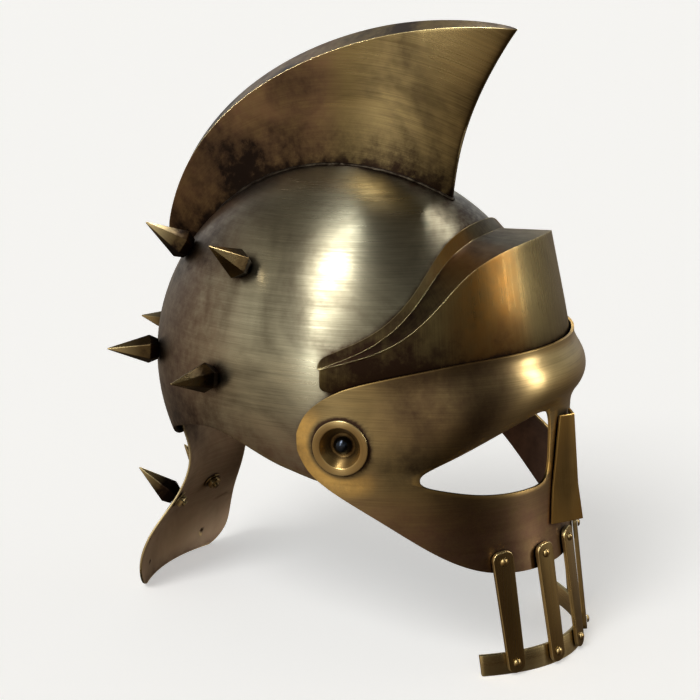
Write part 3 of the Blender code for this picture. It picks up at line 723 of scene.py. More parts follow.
def face_place(column, row):
    nose = len(FACE_COLUMNS) - 1
    share = math.copysign(FACE_COLUMNS[abs(column - nose)], column - nose)
    top, lid, sill, rim = face_edges(share)
    swell = 0.0
    if row < len(CHEEK_ROWS):
        height = rim + (sill - rim) * CHEEK_ROWS[row]
    elif row < len(CHEEK_ROWS) + len(EYE_ROWS):
        height = sill + (lid - sill) * EYE_ROWS[row - len(CHEEK_ROWS)]
    else:
        step = row - len(CHEEK_ROWS) - len(EYE_ROWS)
        height = lid + (top - lid) * BROW_ROWS[step]
        fade = (BROW_ROLL_END - abs(share)) / (BROW_ROLL_END - BROW_ROLL_FULL)
        fade = max(0.0, min(fade, 1.0))
        swell = BROW_SWELL[step] * BROW_ROLL * fade * fade * (3 - 2 * fade)
    return face_point(share, height, swell)


def is_eye(column, row):
    nose = len(FACE_COLUMNS) - 1
    outward = column - nose if column >= nose else nose - 1 - column
    beside_nose = EYE_FIRST_COLUMN <= outward < EYE_LAST_COLUMN
    return beside_nose and len(CHEEK_ROWS) <= row < len(CHEEK_ROWS) + len(EYE_ROWS)


def round_the_face(point):
    angle = math.atan2(point.x, -point.y - LUG_BACK)
    return angle * BOWL_HALF_LENGTH, point.z


guard = bend_sheet(
    "face_mask", 2 * len(FACE_COLUMNS) - 2, len(CHEEK_ROWS) + len(EYE_ROWS) + len(BROW_ROWS) - 1,
    face_place, is_open=is_eye,
)
thicken(guard, FACE_WALL, inner=1)
face_brass = brushed_brass(
    "face_antique_brass", "#A78F60", "#776542", "#33241A", patina=0.35, gloss=0.31,
    bare="#DDB468",
)


# Each lug has a pressed round cup let into it, and one ball-headed rivet of dark polished steel
# goes through cup and bowl. It is all that holds the mask and the forehead plate.
CUP_RADIUS = 0.0155
CUP_FLANGE = 0.0035
CUP_FLOOR_RADIUS = 0.0075
CUP_WALL = 0.0012
RIVET_SHANK_RADIUS = 0.0024
RIVET_HEAD_RADIUS = 0.0052
RIVET_TAIL_RADIUS = 0.0050
RIVET_TAIL_THICKNESS = 0.0014
TURNED_SEGMENTS = 64
AXIS_RADIUS = 0.00002
PACKED_BOWL_SEGMENTS = 42


def way_to_bowl(point, inward):
    """Distance from a point outside the bowl to its outer face, along inward."""
    radii = (BOWL_HALF_WIDTH, BOWL_HALF_LENGTH, BOWL_RISE)
    start = Vector([point[axis] / radii[axis] for axis in range(3)])
    step = Vector([inward[axis] / radii[axis] for axis in range(3)])
    half_b = start.dot(step)
    reach = half_b ** 2 - step.dot(step) * (start.dot(start) - 1)
    return (-half_b - math.sqrt(reach)) / step.dot(step)


def seat(origin, outward, up):
    """Placement with its Z outwards and its Y as near to up as that leaves."""
    z_axis = outward.normalized()
    x_axis = up.cross(z_axis).normalized()
    y_axis = z_axis.cross(x_axis)
    turn = Matrix((x_axis, y_axis, z_axis)).transposed()
    return Matrix.Translation(origin + ring_middle) @ turn.to_4x4()


def turn_profile(name, profile, segments=TURNED_SEGMENTS, rounding=0.0002):
    """Turns (radius, height) points about Z, by edge rings that are extruded and scaled."""
    first_radius, first_height = profile[0]
    start = max(first_radius, AXIS_RADIUS)
    piece = start_piece(
        name, bpy.ops.mesh.primitive_circle_add, vertices=segments, radius=start,
        location=(0, 0, first_height), fill_type="NOTHING",
    )
    bpy.ops.object.transform_apply(location=True, rotation=False, scale=False)
    open_mesh()
    bpy.ops.mesh.select_all(action="SELECT")
    radius = start
    height = first_height
    steps = list(profile[1:])
    if first_radius > 0:
        steps.append(profile[0])
    for next_radius, next_height in steps:
        next_radius = max(next_radius, AXIS_RADIUS)
        bpy.ops.mesh.extrude_edges_move(
            TRANSFORM_OT_translate={"value": (0, 0, next_height - height)}
        )
        share = next_radius / radius
        bpy.ops.transform.resize(value=(share, share, 1), center_override=(0, 0, next_height))
        radius = next_radius
        height = next_height
    bpy.ops.mesh.select_all(action="SELECT")
    bpy.ops.mesh.remove_doubles(threshold=5 * WELD)
    bpy.ops.mesh.normals_make_consistent(inside=False)
    close_mesh()
    if rounding:
        round_edges(piece, rounding, 3, 24)
    return piece


def ball_profile(radius, rise, steps=10):
    turns = [math.pi / 2 * step / steps for step in range(steps + 1)]
    return [(radius * math.sin(turn), rise * math.cos(turn)) for turn in turns]


def lay_lathe_marks(piece):
    """Maps circles about Z, before the piece is put in its place."""
    layer = piece.data.uv_layers.new(name="brushing")
    for face in piece.data.polygons:
        for loop, index in zip(face.loop_indices, face.vertices):
            point = piece.data.vertices[index].co
            angle = math.atan2(point.y, point.x)
            if angle < 0 and face.center.y > 0:
                angle += 2 * math.pi
            middle = math.atan2(face.center.y, face.center.x)
            if angle - middle > math.pi:
                angle -= 2 * math.pi
            elif middle - angle > math.pi:
                angle += 2 * math.pi
            radius = math.hypot(point.x, point.y)
            layer.data[loop].uv = (angle * radius, radius + point.z)


cup_brass = brushed_brass(
    "pressed_antique_brass", "#A08250", "#7E643A", "#3A2818", patina=0.6, gloss=0.32
)
# Polished and oil-blackened steel: nearly black, with one hard glint
dark_steel, steel_tree, steel_shader = start_material("blackened_steel")
steel_place = add_node(steel_tree, "TexCoord", out="Object")
steel_wear = add_node(
    steel_tree, "TexNoise", {"Scale": 900.0, "Detail": 4.0}, {"Vector": steel_place}
)
steel_colour = add_node(
    steel_tree, "Mix", {"data_type": "RGBA", 6: from_hex("#1A1D22"), 7: from_hex("#3A3F48")},
    {0: steel_wear}, out=2,
)
steel_gloss = add_node(
    steel_tree, "MapRange", {"range": (0.3, 0.7, 0.14, 0.26)}, {"Value": steel_wear}
)
add_node(
    steel_tree, steel_shader, {"Metallic": 1.0},
    {"Base Color": steel_colour, "Roughness": steel_gloss},
)

for side_name, side in (("right", -1), ("left", 1)):
    pivot_share = math.acos((PIVOT_AHEAD - LUG_BACK) / face_plan(-PIVOT_DROP)[1]) / (math.pi / 2)
    pivot = face_point(side * pivot_share, -PIVOT_DROP)
    outward = face_normal(side * pivot_share, -PIVOT_DROP)
    to_bowl = way_to_bowl(pivot, -outward)
    tilt = outward.angle(bowl_normal(pivot - outward * to_bowl))
    depth = to_bowl - GAP - CUP_FLOOR_RADIUS * math.tan(tilt)
    dish_radius = CUP_RADIUS - CUP_FLANGE
    hole = RIVET_SHANK_RADIUS + GAP
    placement = seat(pivot, outward, UP)

    cup = turn_profile(f"pressed_cup_{side_name}", (
        (CUP_RADIUS, GAP + CUP_WALL),
        (CUP_RADIUS, GAP),
        (dish_radius, GAP),
        (CUP_FLOOR_RADIUS, -depth),
        (hole, -depth),
        (hole, CUP_WALL - depth),
        (CUP_FLOOR_RADIUS - CUP_WALL / 2, CUP_WALL - depth),
        (dish_radius - CUP_WALL / 2, GAP + CUP_WALL),
    ), rounding=0.0005)
    lay_lathe_marks(cup)
    cup.matrix_world = placement
    finish_piece(cup, (cup_brass,), f"temple_cup_{side_name}", sharp=30.0)

    floor_top = CUP_WALL - depth + GAP
    half_segment = math.pi / PACKED_BOWL_SEGMENTS
    facet_dip = BOWL_HALF_LENGTH * (1 - math.cos(half_segment)) * 2
    inside = -to_bowl - BOWL_WALL / math.cos(tilt) - RIVET_TAIL_RADIUS * math.tan(tilt) - GAP
    inside -= facet_dip
    head = [
        (radius, floor_top + rise)
        for radius, rise in ball_profile(RIVET_HEAD_RADIUS, RIVET_HEAD_RADIUS)
    ]
    rivet = turn_profile(f"ball_rivet_{side_name}", head + [
        (RIVET_SHANK_RADIUS, floor_top),
        (RIVET_SHANK_RADIUS, inside),
        (RIVET_TAIL_RADIUS, inside),
        (RIVET_TAIL_RADIUS, inside - RIVET_TAIL_THICKNESS),
        (0.0, inside - RIVET_TAIL_THICKNESS),
    ], rounding=0.00015)
    rivet.matrix_world = placement
    finish_piece(rivet, (dark_steel,), f"temple_rivet_{side_name}", sharp=30.0)

    punch = start_piece(
        "cup_punch", bpy.ops.mesh.primitive_cylinder_add, vertices=TURNED_SEGMENTS,
        radius=dish_radius + GAP, depth=2 * to_bowl,
    )
    punch.matrix_world = placement
    cut_away(guard, punch)


def face_wear_and_shade(point, normal):
    """Painted shade low in the cheeks and at each eye's rear corner, a painted dark reflection
    over the eyes, dark in a thin ring round each cup, and rubbed to grainy gold on the lugs,
    below and behind the cups; coppery low down, and over the eyes as part of that reflection."""
    # Painted shade, darker low on the cheeks
    lower_cheek_shade = 0.28 * smooth_step(-point.z, 0.040, 0.090)
    height = point.z + PIVOT_DROP
    length = point.y + PIVOT_AHEAD
    from_cup = math.hypot(height, length) - CUP_RADIUS
    ring = 0.9 * (1 - smooth_step(from_cup, 0.0008, 0.0030))
    rubbed = smooth_step(from_cup, 0.002, 0.005) * (1 - smooth_step(from_cup, 0.007, 0.018))
    rubbed *= smooth_step(length - height, -0.010, 0.012)
    share = abs(math.atan2(point.x, -point.y - LUG_BACK)) / (math.pi / 2)
    # A painted dark reflection band across the brow over the eyes
    dark_reflection_over_eye = smooth_step(share, 0.20, 0.42) * (1 - smooth_step(share, 0.56, 0.80))
    dark_reflection_over_eye *= smooth_step(point.z, -0.034, -0.004)
    # Painted shade at each eye's rear corner
    to_corner = math.hypot(share - EYE_CORNER_SHARE, (point.z + EYE_DROP) * 8)
    corner = 1 - smooth_step(to_corner, 0.0, 0.22)
    blush = 0.8 * max(smooth_step(-point.z, 0.035, 0.075), 0.5 * dark_reflection_over_eye, 0.6 * rubbed)
    return max(lower_cheek_shade, ring, 0.40 * dark_reflection_over_eye, 0.7 * corner) - 0.95 * rubbed, blush


lay_brushing(guard, round_the_face)
lay_wear_and_shade(guard, face_wear_and_shade)
finish_piece(guard, (face_brass, inner_brass), "face_guard")


# The forehead plate is bent from one piece: an arched front that stands on the brow, a roof
# folded back over it, and a narrow flange turned up and soldered to the bowl.
FRONTLET_TOP = 0.085
FRONTLET_WALL = 0.0012
FRONTLET_FOLD = 0.0016
FRONTLET_LAP = 0.006
FRONTLET_FLANGE = 0.006
FRONTLET_LEAN_DEG = 13.0
FRONTLET_NARROWING = 0.35
FRONTLET_ARCH = (
    (0.00, 1.00, 0.00), (0.20, 0.98, 0.00), (0.38, 0.89, 0.00), (0.54, 0.66, 0.02),
    (0.66, 0.36, 0.08), (0.78, 0.15, 0.22), (0.90, 0.06, 0.55), (1.00, 0.03, 0.92),
)
FRONTLET_COLUMNS = (0.0, 0.19, 0.38, 0.52, 0.64, 0.76, 0.88, 1.0)
FRONTLET_FOLDS = (3, 4)
FRONTLET_END = 0.84


def frontlet_place(column, row):
    middle = len(FRONTLET_COLUMNS) - 1
    part_way = FRONTLET_COLUMNS[abs(column - middle)]
    share = math.copysign(part_way, column - middle) * FRONTLET_END
    arch, pull = blend(FRONTLET_ARCH, part_way)
    brow = face_edges(share)[0]
    fold_height = brow + FRONTLET_LAP + (FRONTLET_TOP - brow - FRONTLET_LAP) * arch
    lean = math.tan(math.radians(FRONTLET_LEAN_DEG))
    bowl_angle = share * math.pi / 2
    height = (
        brow - FRONTLET_LAP, brow + FRONTLET_LAP / 4, (brow + fold_height) / 2,
        fold_height, fold_height, fold_height + FRONTLET_FLANGE,
    )[row]
    on_bowl = bowl_point(bowl_angle, height, 2 * (FRONTLET_WALL + GAP))
    if row > FRONTLET_FOLDS[0]:
        return on_bowl
    face = face_point(share, brow, -(FACE_WALL + GAP))
    back = lean * max(height - brow, 0.0)
    face.x *= 1 - FRONTLET_NARROWING * back / BOWL_HALF_LENGTH
    face.y += back
    face.z = height
    return face.lerp(on_bowl, pull)


def up_the_forehead(point):
    angle = math.atan2(point.x, -point.y - LUG_BACK)
    return point.z, angle * BOWL_HALF_LENGTH


frontlet = bend_sheet(
    "forehead_plate", 2 * len(FRONTLET_COLUMNS) - 2, 5, frontlet_place,
    folds=FRONTLET_FOLDS, bend=FRONTLET_FOLD, smooth=4,
)
thicken(frontlet, FRONTLET_WALL, inner=1)
lay_brushing(frontlet, up_the_forehead)


def frontlet_shade_and_reflection(point, normal):
    """Painted shade just above the brow, painted dark reflections on the roof and flange, which
    look up, and towards its ends, a little darker all over, and a painted orange reflection
    half-way round.
    """
    share = abs(math.atan2(point.x, -point.y - LUG_BACK)) / (math.pi / 2)
    low = 1 - smooth_step(point.z - face_edges(share)[0], 0.0, 0.022)
    # Painted dark reflection on the roof and flange, which look up
    roof = smooth_step(normal.z, 0.45, 0.85)
    ends = smooth_step(share, 0.30, 0.60)
    # A painted orange reflection half-way round
    warm_reflection = smooth_step(share, 0.14, 0.28) * (1 - smooth_step(share, 0.38, 0.54))
    return 0.08 + 0.35 * low + 0.40 * roof + 0.30 * ends, 0.75 * warm_reflection


lay_wear_and_shade(frontlet, frontlet_shade_and_reflection)
# Its copper colour is that of the painted orange reflection
forehead_brass = brushed_brass(
    "forehead_antique_brass", "#73643F", "#4A3E27", "#2A1D14", patina=0.7, gloss=0.26,
    copper="#96692F", bare="#F2DDA4",
)
finish_piece(frontlet, (forehead_brass, inner_brass), "frontlet")


# The nose plate is folded along its middle and laid over the mask's nose strip, wider and
# deeper at its foot, where its bright edge faces forwards.
NASAL_TOP_DROP = 0.015
NASAL_LENGTH = 0.062
NASAL_TOP_HALF_WIDTH = 0.0085
NASAL_LOW_HALF_WIDTH = 0.0165
NASAL_TOP_RIDGE = 0.005
NASAL_LOW_RIDGE = 0.011
NASAL_WALL = 0.0015
NASAL_CELLS_ACROSS = 4
NASAL_CELLS_UP = 3


def face_share_at(across, height):
    half_width, _ = face_plan(height)
    return math.asin(across / half_width) / (math.pi / 2)


def nasal_place(column, row):
    fall = 1 - row / NASAL_CELLS_UP
    across = 2 * column / NASAL_CELLS_ACROSS - 1
    half_width = NASAL_TOP_HALF_WIDTH + (NASAL_LOW_HALF_WIDTH - NASAL_TOP_HALF_WIDTH) * fall
    ridge = NASAL_TOP_RIDGE + (NASAL_LOW_RIDGE - NASAL_TOP_RIDGE) * fall
    height = -NASAL_TOP_DROP - NASAL_LENGTH * fall
    point = face_point(face_share_at(across * half_width, height), height, GAP + NASAL_WALL)
    point.y -= ridge * (1 - abs(across))
    return point


def down_the_nose(point):
    return point.z, point.x


nasal = bend_sheet("nose_plate", NASAL_CELLS_ACROSS, NASAL_CELLS_UP, nasal_place, smooth=0)
thicken(nasal, NASAL_WALL, inner=1)
lay_brushing(nasal, down_the_nose)
lay_wear_and_shade(nasal, lambda point, normal: (-0.30 * smooth_step(-point.z, 0.020, 0.060), 0.0))
finish_piece(nasal, (face_brass, inner_brass), "nasal", sharp=20.0)


# The grille is five flat bars over the mouth, cut from strip with rounded ends, riveted to the
# mask's lower rim and to the chin bar, which the helmet stands on.
BAR_COUNT = 5
BAR_PITCH = 0.0255
BAR_TOP_WIDTH = 0.013
BAR_LOW_WIDTH = 0.0105
BAR_CORNER = 0.0047
BAR_THICKNESS = 0.0026
BAR_ROUNDING = 0.0005
BAR_LAP = 0.014
BAR_FOOT_CLEARANCE = 0.0015
CHIN_BAR_HEIGHT = 0.013
CHIN_BAR_WALL = 0.0026
CHIN_BAR_END = 0.009
CHIN_BAR_CELLS = 72
BAR_RIVET_RADIUS = 0.0024
BAR_RIVET_RISE = 0.0015
BAR_RIVET_INSET = 0.006


def along_the_bar(point):
    return point.z, point.x


bar_brass = brushed_brass(
    "strip_antique_brass", "#927A4B", "#65502E", "#2A1D15", patina=0.9, gloss=0.25
)
for number in range(1, BAR_COUNT + 1):
    across = (number - (BAR_COUNT + 1) / 2) * BAR_PITCH
    share = face_share_at(across, -FACE_DROP)
    rim = face_edges(share)[3]
    top = face_point(share, rim + BAR_LAP)
    low = face_point(share, FLOOR + BAR_FOOT_CLEARANCE)
    up = (top - low).normalized()
    side = face_point(share + 0.01, rim) - face_point(share - 0.01, rim)
    outward = side.cross(up).normalized()
    middle = (top + low) / 2 + outward * (GAP + BAR_THICKNESS / 2)
    bar = start_piece(f"grille_bar_{number}", bpy.ops.mesh.primitive_cube_add, size=1.0)
    bpy.ops.transform.resize(value=(BAR_LOW_WIDTH, (top - low).length, BAR_THICKNESS))
    bpy.ops.object.transform_apply(location=False, rotation=False, scale=True)
    for vertex in bar.data.vertices:
        if vertex.co.y > 0:
            vertex.co.x *= BAR_TOP_WIDTH / BAR_LOW_WIDTH
    for edge in bar.data.edges:
        ends = [bar.data.vertices[index].co for index in edge.vertices]
        edge.select = abs(ends[0].z - ends[1].z) > BAR_THICKNESS / 2
    for face in bar.data.polygons:
        face.select = False
    open_mesh()
    bpy.ops.mesh.select_mode(type="EDGE")
    bpy.ops.mesh.bevel(offset=BAR_CORNER, segments=8, profile=0.5, affect="EDGES")
    close_mesh()
    round_edges(bar, BAR_ROUNDING, 3, 50)
    bar.matrix_world = seat(middle, outward, up)
    bpy.ops.object.transform_apply(location=True, rotation=True, scale=True)
    lay_brushing(bar, along_the_bar)
    finish_piece(bar, (bar_brass,), f"mouth_bar_{number}")

    ends = (("top", top - up * BAR_RIVET_INSET), ("low", low + up * BAR_RIVET_INSET))
    for where, spot in ends:
        profile = ball_profile(BAR_RIVET_RADIUS, BAR_RIVET_RISE) + [(0.0, 0.0)]
        stud = turn_profile(f"grille_rivet_{where}_{number}", profile, segments=32, rounding=0)
        lay_lathe_marks(stud)
        stud.matrix_world = seat(spot + outward * (2 * GAP + BAR_THICKNESS), outward, up)
        finish_piece(stud, (cup_brass,), f"bar_rivet_{where}_{number}", sharp=50.0)


def chin_place(column, row):
    across_end = (BAR_COUNT - 1) / 2 * BAR_PITCH + CHIN_BAR_END
    share = (2 * column / CHIN_BAR_CELLS - 1) * face_share_at(across_end, FLOOR)
    return face_point(share, FLOOR + CHIN_BAR_HEIGHT if row else FLOOR)


chin_bar = bend_sheet("chin_strip", CHIN_BAR_CELLS, 1, chin_place, smooth=0)
thicken(chin_bar, CHIN_BAR_WALL)
lay_brushing(chin_bar, round_the_face)
finish_piece(chin_bar, (bar_brass, bar_brass), "chin_bar")


# The neck guard is a flared apron of thinner sheet, lapped inside the bowl's rear edge and cut
# off level below. Its inner face kept the coppery pink of the annealing fire.
NECK_WALL = 0.0015
NECK_LAP = 0.015
NECK_FLARE = 0.034
NECK_HALF_SPREAD_DEG = 27.0
NECK_CORNER_LIFT = 0.012
NECK_CORNER_START = 0.65
NECK_CORNER_FALL = 0.5
NECK_ROWS = (
    (0.00, 0.00, 0.90), (0.15, 0.00, 0.87), (0.30, 0.00, 0.86), (0.48, 0.32, 0.92),
    (0.66, 0.76, 1.01), (0.86, 1.00, 1.04), (1.00, 1.00, 1.00),
)
NECK_CELLS = 8
FLOOR_TRIM = 0.002


def neck_point(degrees, fall, lift=0.0):
    """fall is the share of the way from the lap's top down to the floor."""
    flare = blend(NECK_ROWS, fall)[0] * NECK_FLARE
    top = -BOWL_SKIRT + NECK_LAP
    height = top + (FLOOR - top) * fall
    angle = math.pi - math.radians(degrees)
    inside = -(BOWL_WALL + 3 * GAP + facet_dip)
    point = bowl_point(angle, max(height, -BOWL_SKIRT), inside)
    point.z = height + lift
    outward = Vector((point.x, point.y, 0.0)).normalized()
    return point + outward * flare


def neck_place(column, row):
    last_row = len(NECK_ROWS) - 1
    fall, _, spread = NECK_ROWS[last_row - row]
    across = 1 - 2 * column / NECK_CELLS
    degrees = across * spread * NECK_HALF_SPREAD_DEG
    corner = max(abs(across) - NECK_CORNER_START, 0.0) / (1 - NECK_CORNER_START)
    low_part = max(fall - NECK_CORNER_FALL, 0.0) / (1 - NECK_CORNER_FALL)
    lift = NECK_CORNER_LIFT * corner ** 2 * low_part
    point = neck_point(degrees, fall, lift)
    if row == 0:
        point.z -= FLOOR_TRIM
    return point


neck = bend_sheet("nape_guard", NECK_CELLS, len(NECK_ROWS) - 1, neck_place)
thicken(neck, NECK_WALL, inner=1)
open_mesh()
bpy.ops.mesh.select_all(action="SELECT")
bpy.ops.mesh.bisect(
    plane_co=(0, 0, 0), plane_no=(0, 0, 1), use_fill=True, clear_inner=True, clear_outer=False
)
close_mesh()


def neck_outward(degrees, fall):
    across = neck_point(degrees - 1, fall) - neck_point(degrees + 1, fall)
    upwards = neck_point(degrees, fall - 0.02) - neck_point(degrees, fall + 0.02)
    return across.cross(upwards).normalized()


# A small hole is drilled part-way into the inner face of each wing of its foot
NECK_HOLE_RADIUS = 0.0011
NECK_HOLE_DEPTH = 0.0006
NECK_HOLE_DEG = 16.0
NECK_HOLE_SHARE = 0.89
neck_holes = []
for degrees in (-NECK_HOLE_DEG, NECK_HOLE_DEG):
    outward = neck_outward(degrees, NECK_HOLE_SHARE)
    start = neck_point(degrees, NECK_HOLE_SHARE) - outward * 6 * NECK_WALL + ring_middle
    _, struck, _, _ = neck.ray_cast(start, outward)
    inner_spot = struck - ring_middle
    middle = inner_spot - outward * (NECK_WALL - NECK_HOLE_DEPTH)
    drill = start_piece(
        "neck_drill", bpy.ops.mesh.primitive_cylinder_add, vertices=24, radius=NECK_HOLE_RADIUS,
        depth=2 * NECK_WALL,
    )
    drill.matrix_world = seat(middle, outward, UP)
    cut_away(neck, drill)
    neck_holes.append(inner_spot)
lay_brushing(neck, round_the_bowl)


def neck_wear_and_shade(point, normal):
    """Painted shade up under the bowl's edge and in the holes, and coppery to the flared foot."""
    shade_under_bowl = smooth_step(point.z, -0.075, -0.050)
    to_hole = min((point - spot).length for spot in neck_holes)
    shade_in_hole = 1 - smooth_step(to_hole, 1.3 * NECK_HOLE_RADIUS, 1.8 * NECK_HOLE_RADIUS)
    return max(0.5 * shade_under_bowl, shade_in_hole), 0.15 + 0.8 * smooth_step(-point.z, 0.150, 0.195)


lay_wear_and_shade(neck, neck_wear_and_shade)
coppery_brass = brushed_brass(
    "annealed_brass", "#B8A486", "#94846A", "#5A4638", brushing=0.4, gloss=0.46, patina=0.4,
    copper="#E0A48E",
)
finish_piece(neck, (bowl_brass, coppery_brass), "neck_guard")


# The spikes are six-sided, filed from brass bar, with a short taper back to their feet. They
# stand straight out of the bowl and the neck guard, screwed on from inside.
SPIKE_RADIUS = 0.0088
SPIKE_FOOT_RADIUS = 0.0064
SPIKE_FOOT_HEIGHT = 0.0055
SPIKE_LENGTH = 0.030
SPIKE_TIP_RADIUS = 0.0005
SPIKE_ROUNDING = 0.0004
SPIKE_RING_RISE = 0.008
SPIKE_UPPER_RISE = 0.068
SPIKE_NAPE_SHARE = 0.52
SPIKE_NAPE_GAP = 0.0007
SPIKE_RING_DEG = (-72.0, -36.0, 0.0, 36.0, 72.0)
SPIKE_UPPER_DEG = (-75.0, -35.0, 35.0, 75.0)
SPIKE_NAPE_DEG = (-12.0, 12.0)


def file_spike():
    """One spike, its foot at the origin and its point along Z."""
    pattern = start_piece(
        "spike_pattern", bpy.ops.mesh.primitive_cone_add, vertices=6, radius1=SPIKE_FOOT_RADIUS,
        radius2=SPIKE_RADIUS, depth=SPIKE_FOOT_HEIGHT, location=(0, 0, SPIKE_FOOT_HEIGHT / 2),
    )
    bpy.ops.object.transform_apply(location=True, rotation=False, scale=False)
    for edge in pattern.data.edges:
        edge.select = False
    for vertex in pattern.data.vertices:
        vertex.select = False
    for face in pattern.data.polygons:
        face.select = face.normal.z > 0.9
    open_mesh()
    bpy.ops.mesh.select_mode(type="FACE")
    bpy.ops.mesh.extrude_region_move(
        TRANSFORM_OT_translate={"value": (0, 0, SPIKE_LENGTH - SPIKE_FOOT_HEIGHT)}
    )
    share = SPIKE_TIP_RADIUS / SPIKE_RADIUS
    bpy.ops.transform.resize(value=(share, share, 1), center_override=(0, 0, SPIKE_LENGTH))
    close_mesh()
    round_edges(pattern, SPIKE_ROUNDING, 2, 20)
    layer = pattern.data.uv_layers.new(name="brushing")
    for face in pattern.data.polygons:
        for loop, index in zip(face.loop_indices, face.vertices):
            point = pattern.data.vertices[index].co
            layer.data[loop].uv = (point.z, math.atan2(face.center.y, face.center.x) * 0.01)
    lay_wear_and_shade(pattern, lambda point, normal: (
        0.25 + 0.6 * (1 - smooth_step((point + ring_middle).z, 0.0, 0.020)), 0.2
    ))
    return pattern


spike_brass = brushed_brass(
    "filed_antique_brass", "#7E6A40", "#54432A", "#1C130D", patina=0.9, gloss=0.18
)
pattern = file_spike()
seats = []
for row, turns, rise in (
    ("ring", SPIKE_RING_DEG, SPIKE_RING_RISE), ("upper", SPIKE_UPPER_DEG, SPIKE_UPPER_RISE)
):
    for number, degrees in enumerate(turns, 1):
        foot = bowl_point(math.pi - math.radians(degrees), rise)
        seats.append((f"{row}_{number}", foot, bowl_normal(foot), GAP))
for number, degrees in enumerate(SPIKE_NAPE_DEG, 1):
    foot = neck_point(degrees, SPIKE_NAPE_SHARE)
    outward = neck_outward(degrees, SPIKE_NAPE_SHARE)
    seats.append((f"nape_{number}", foot, outward, SPIKE_NAPE_GAP))
for name, foot, outward, gap in seats:
    spike = pattern.copy()
    spike.data = pattern.data.copy()
    spike.name = f"filed_spike_{name}"
    spike.data.name = spike.name
    bpy.context.scene.collection.objects.link(spike)
    spike.matrix_world = seat(foot + outward * gap, outward, UP)
    finish_piece(spike, (spike_brass,), f"spike_{name}", sharp=12.0)
bpy.data.objects.remove(pattern, do_unlink=True)


# Inside, each spike's screw ends in a turned washer and a hexagonal brass nut, drawn tight against
# the sheet. They took the same tarnish as the spikes.
NUT_RADIUS = 0.0046
NUT_THICKNESS = 0.0030
NUT_ROUNDING = 0.0005
WASHER_RADIUS = 0.0060
WASHER_THICKNESS = 0.0008
SCREW_RADIUS = 0.0020
SCREW_END = 0.0056
SEAT_HOLLOW = 0.0004
for name, foot, outward, gap in seats:
    wall = NECK_WALL if name.startswith("nape") else BOWL_WALL
    washer = turn_profile(f"spike_washer_{name}", (
        (WASHER_RADIUS, 0.0), (0.0, 0.0), (0.0, SCREW_END), (SCREW_RADIUS, SCREW_END),
        (SCREW_RADIUS, WASHER_THICKNESS), (WASHER_RADIUS, WASHER_THICKNESS),
    ), segments=32)
    lay_lathe_marks(washer)
    nut = start_piece(
        f"spike_nut_{name}", bpy.ops.mesh.primitive_cylinder_add, vertices=6, radius=NUT_RADIUS,
        depth=NUT_THICKNESS, location=(0, 0, WASHER_THICKNESS + NUT_THICKNESS / 2),
    )
    bpy.ops.object.transform_apply(location=True, rotation=False, scale=False)
    round_edges(nut, NUT_ROUNDING, 2, 30)
    lay_lathe_marks(nut)
    under = seat(foot - outward * (wall + SEAT_HOLLOW), -outward, UP)
    for piece in (washer, nut):
        piece.matrix_world = under
        finish_piece(piece, (spike_brass,), None, sharp=25.0)


# The floor is plain pale paper, wide enough to fill every view. It shines faintly by itself, so
# that it comes out nearly as white as the photograph's ground, with a soft shadow left on it.
FLOOR_RADIUS = 60.0
BACKDROP_RADIUS = 18.0
BACKDROP_HEIGHT = 40.0
floor = start_piece(
    "paper_floor", bpy.ops.mesh.primitive_circle_add, vertices=96, radius=FLOOR_RADIUS,
    fill_type="NGON",
)
paper, paper_tree, paper_shader = start_material("pale_paper")
paper_place = add_node(paper_tree, "TexCoord", out="Object")
paper_fibre = add_node(
    paper_tree, "TexNoise", {"Scale": 300.0, "Detail": 4.0}, {"Vector": paper_place}
)
paper_colour = add_node(
    paper_tree, "Mix", {"data_type": "RGBA", 6: from_hex("#ECEBE8"), 7: from_hex("#F0EFED")},
    {0: paper_fibre}, out=2,
)
add_node(paper_tree, paper_shader, {
    "Roughness": 0.9, "Specular IOR Level": 0.1, "Emission Color": from_hex("#FFFFFF"),
    "Emission Strength": 0.42,
}, {"Base Color": paper_colour})
floor.data.materials.append(paper)
# The brass mirrors the dark studio below it, as in the photograph, and not the paper
floor.visible_glossy = False

# A pale sheet all round, far off, closes the floor's edge for the camera alone
backdrop = start_piece(
    "paper_backdrop", bpy.ops.mesh.primitive_cylinder_add, vertices=96, radius=BACKDROP_RADIUS,
    depth=BACKDROP_HEIGHT, end_fill_type="NOTHING",
)
backdrop_paper, backdrop_tree, backdrop_shader = start_material("lit_backdrop_paper")
add_node(backdrop_tree, backdrop_shader, {
    "Base Color": from_hex("#000000"), "Specular IOR Level": 0.0,
    "Emission Color": from_hex("#F8F7F4"), "Emission Strength": 1.0,
})
backdrop.data.materials.append(backdrop_paper)
backdrop.visible_diffuse = False
backdrop.visible_glossy = False
backdrop.visible_shadow = False


# Soft studio light: a broad lamp and a strip box high on the left, boxes overhead and at right,
# and two lamps for the crest's edges alone. The room that the brass mirrors is lightest a little
# above eye height and dark below, with a pale wall on the left and a dark doorway on the right.
CAMERA_AZIMUTH_DEG = -63.0
CAMERA_RISE_DEG = 15.0
CAMERA_DISTANCE = 0.90
CAMERA_LENS = 76.6
PHOTO_SIZE = 700
turn = math.radians(CAMERA_AZIMUTH_DEG)
rise = math.radians(CAMERA_RISE_DEG)
camera_back = Vector((
    math.sin(turn) * math.cos(rise), -math.cos(turn) * math.cos(rise), math.sin(rise)
))
camera_right = Vector((math.cos(turn), math.sin(turn), 0.0))
camera_up = camera_back.cross(camera_right)


def camera_way(right, up, back):
    """A direction that is given as the camera sees it."""
    return (camera_right * right + camera_up * up + camera_back * back).normalized()


# The softboxes are flagged off the paper, which the broad lamp alone lights
off_the_paper = bpy.data.collections.new("off_the_paper")
off_the_paper.objects.link(floor)
off_the_paper.collection_objects[0].light_linking.link_state = "EXCLUDE"
# Two lamps are flagged off everything but the crest, whose folded edge and top plate they draw
crest_alone = bpy.data.collections.new("crest_alone")
crest_alone.objects.link(crest)


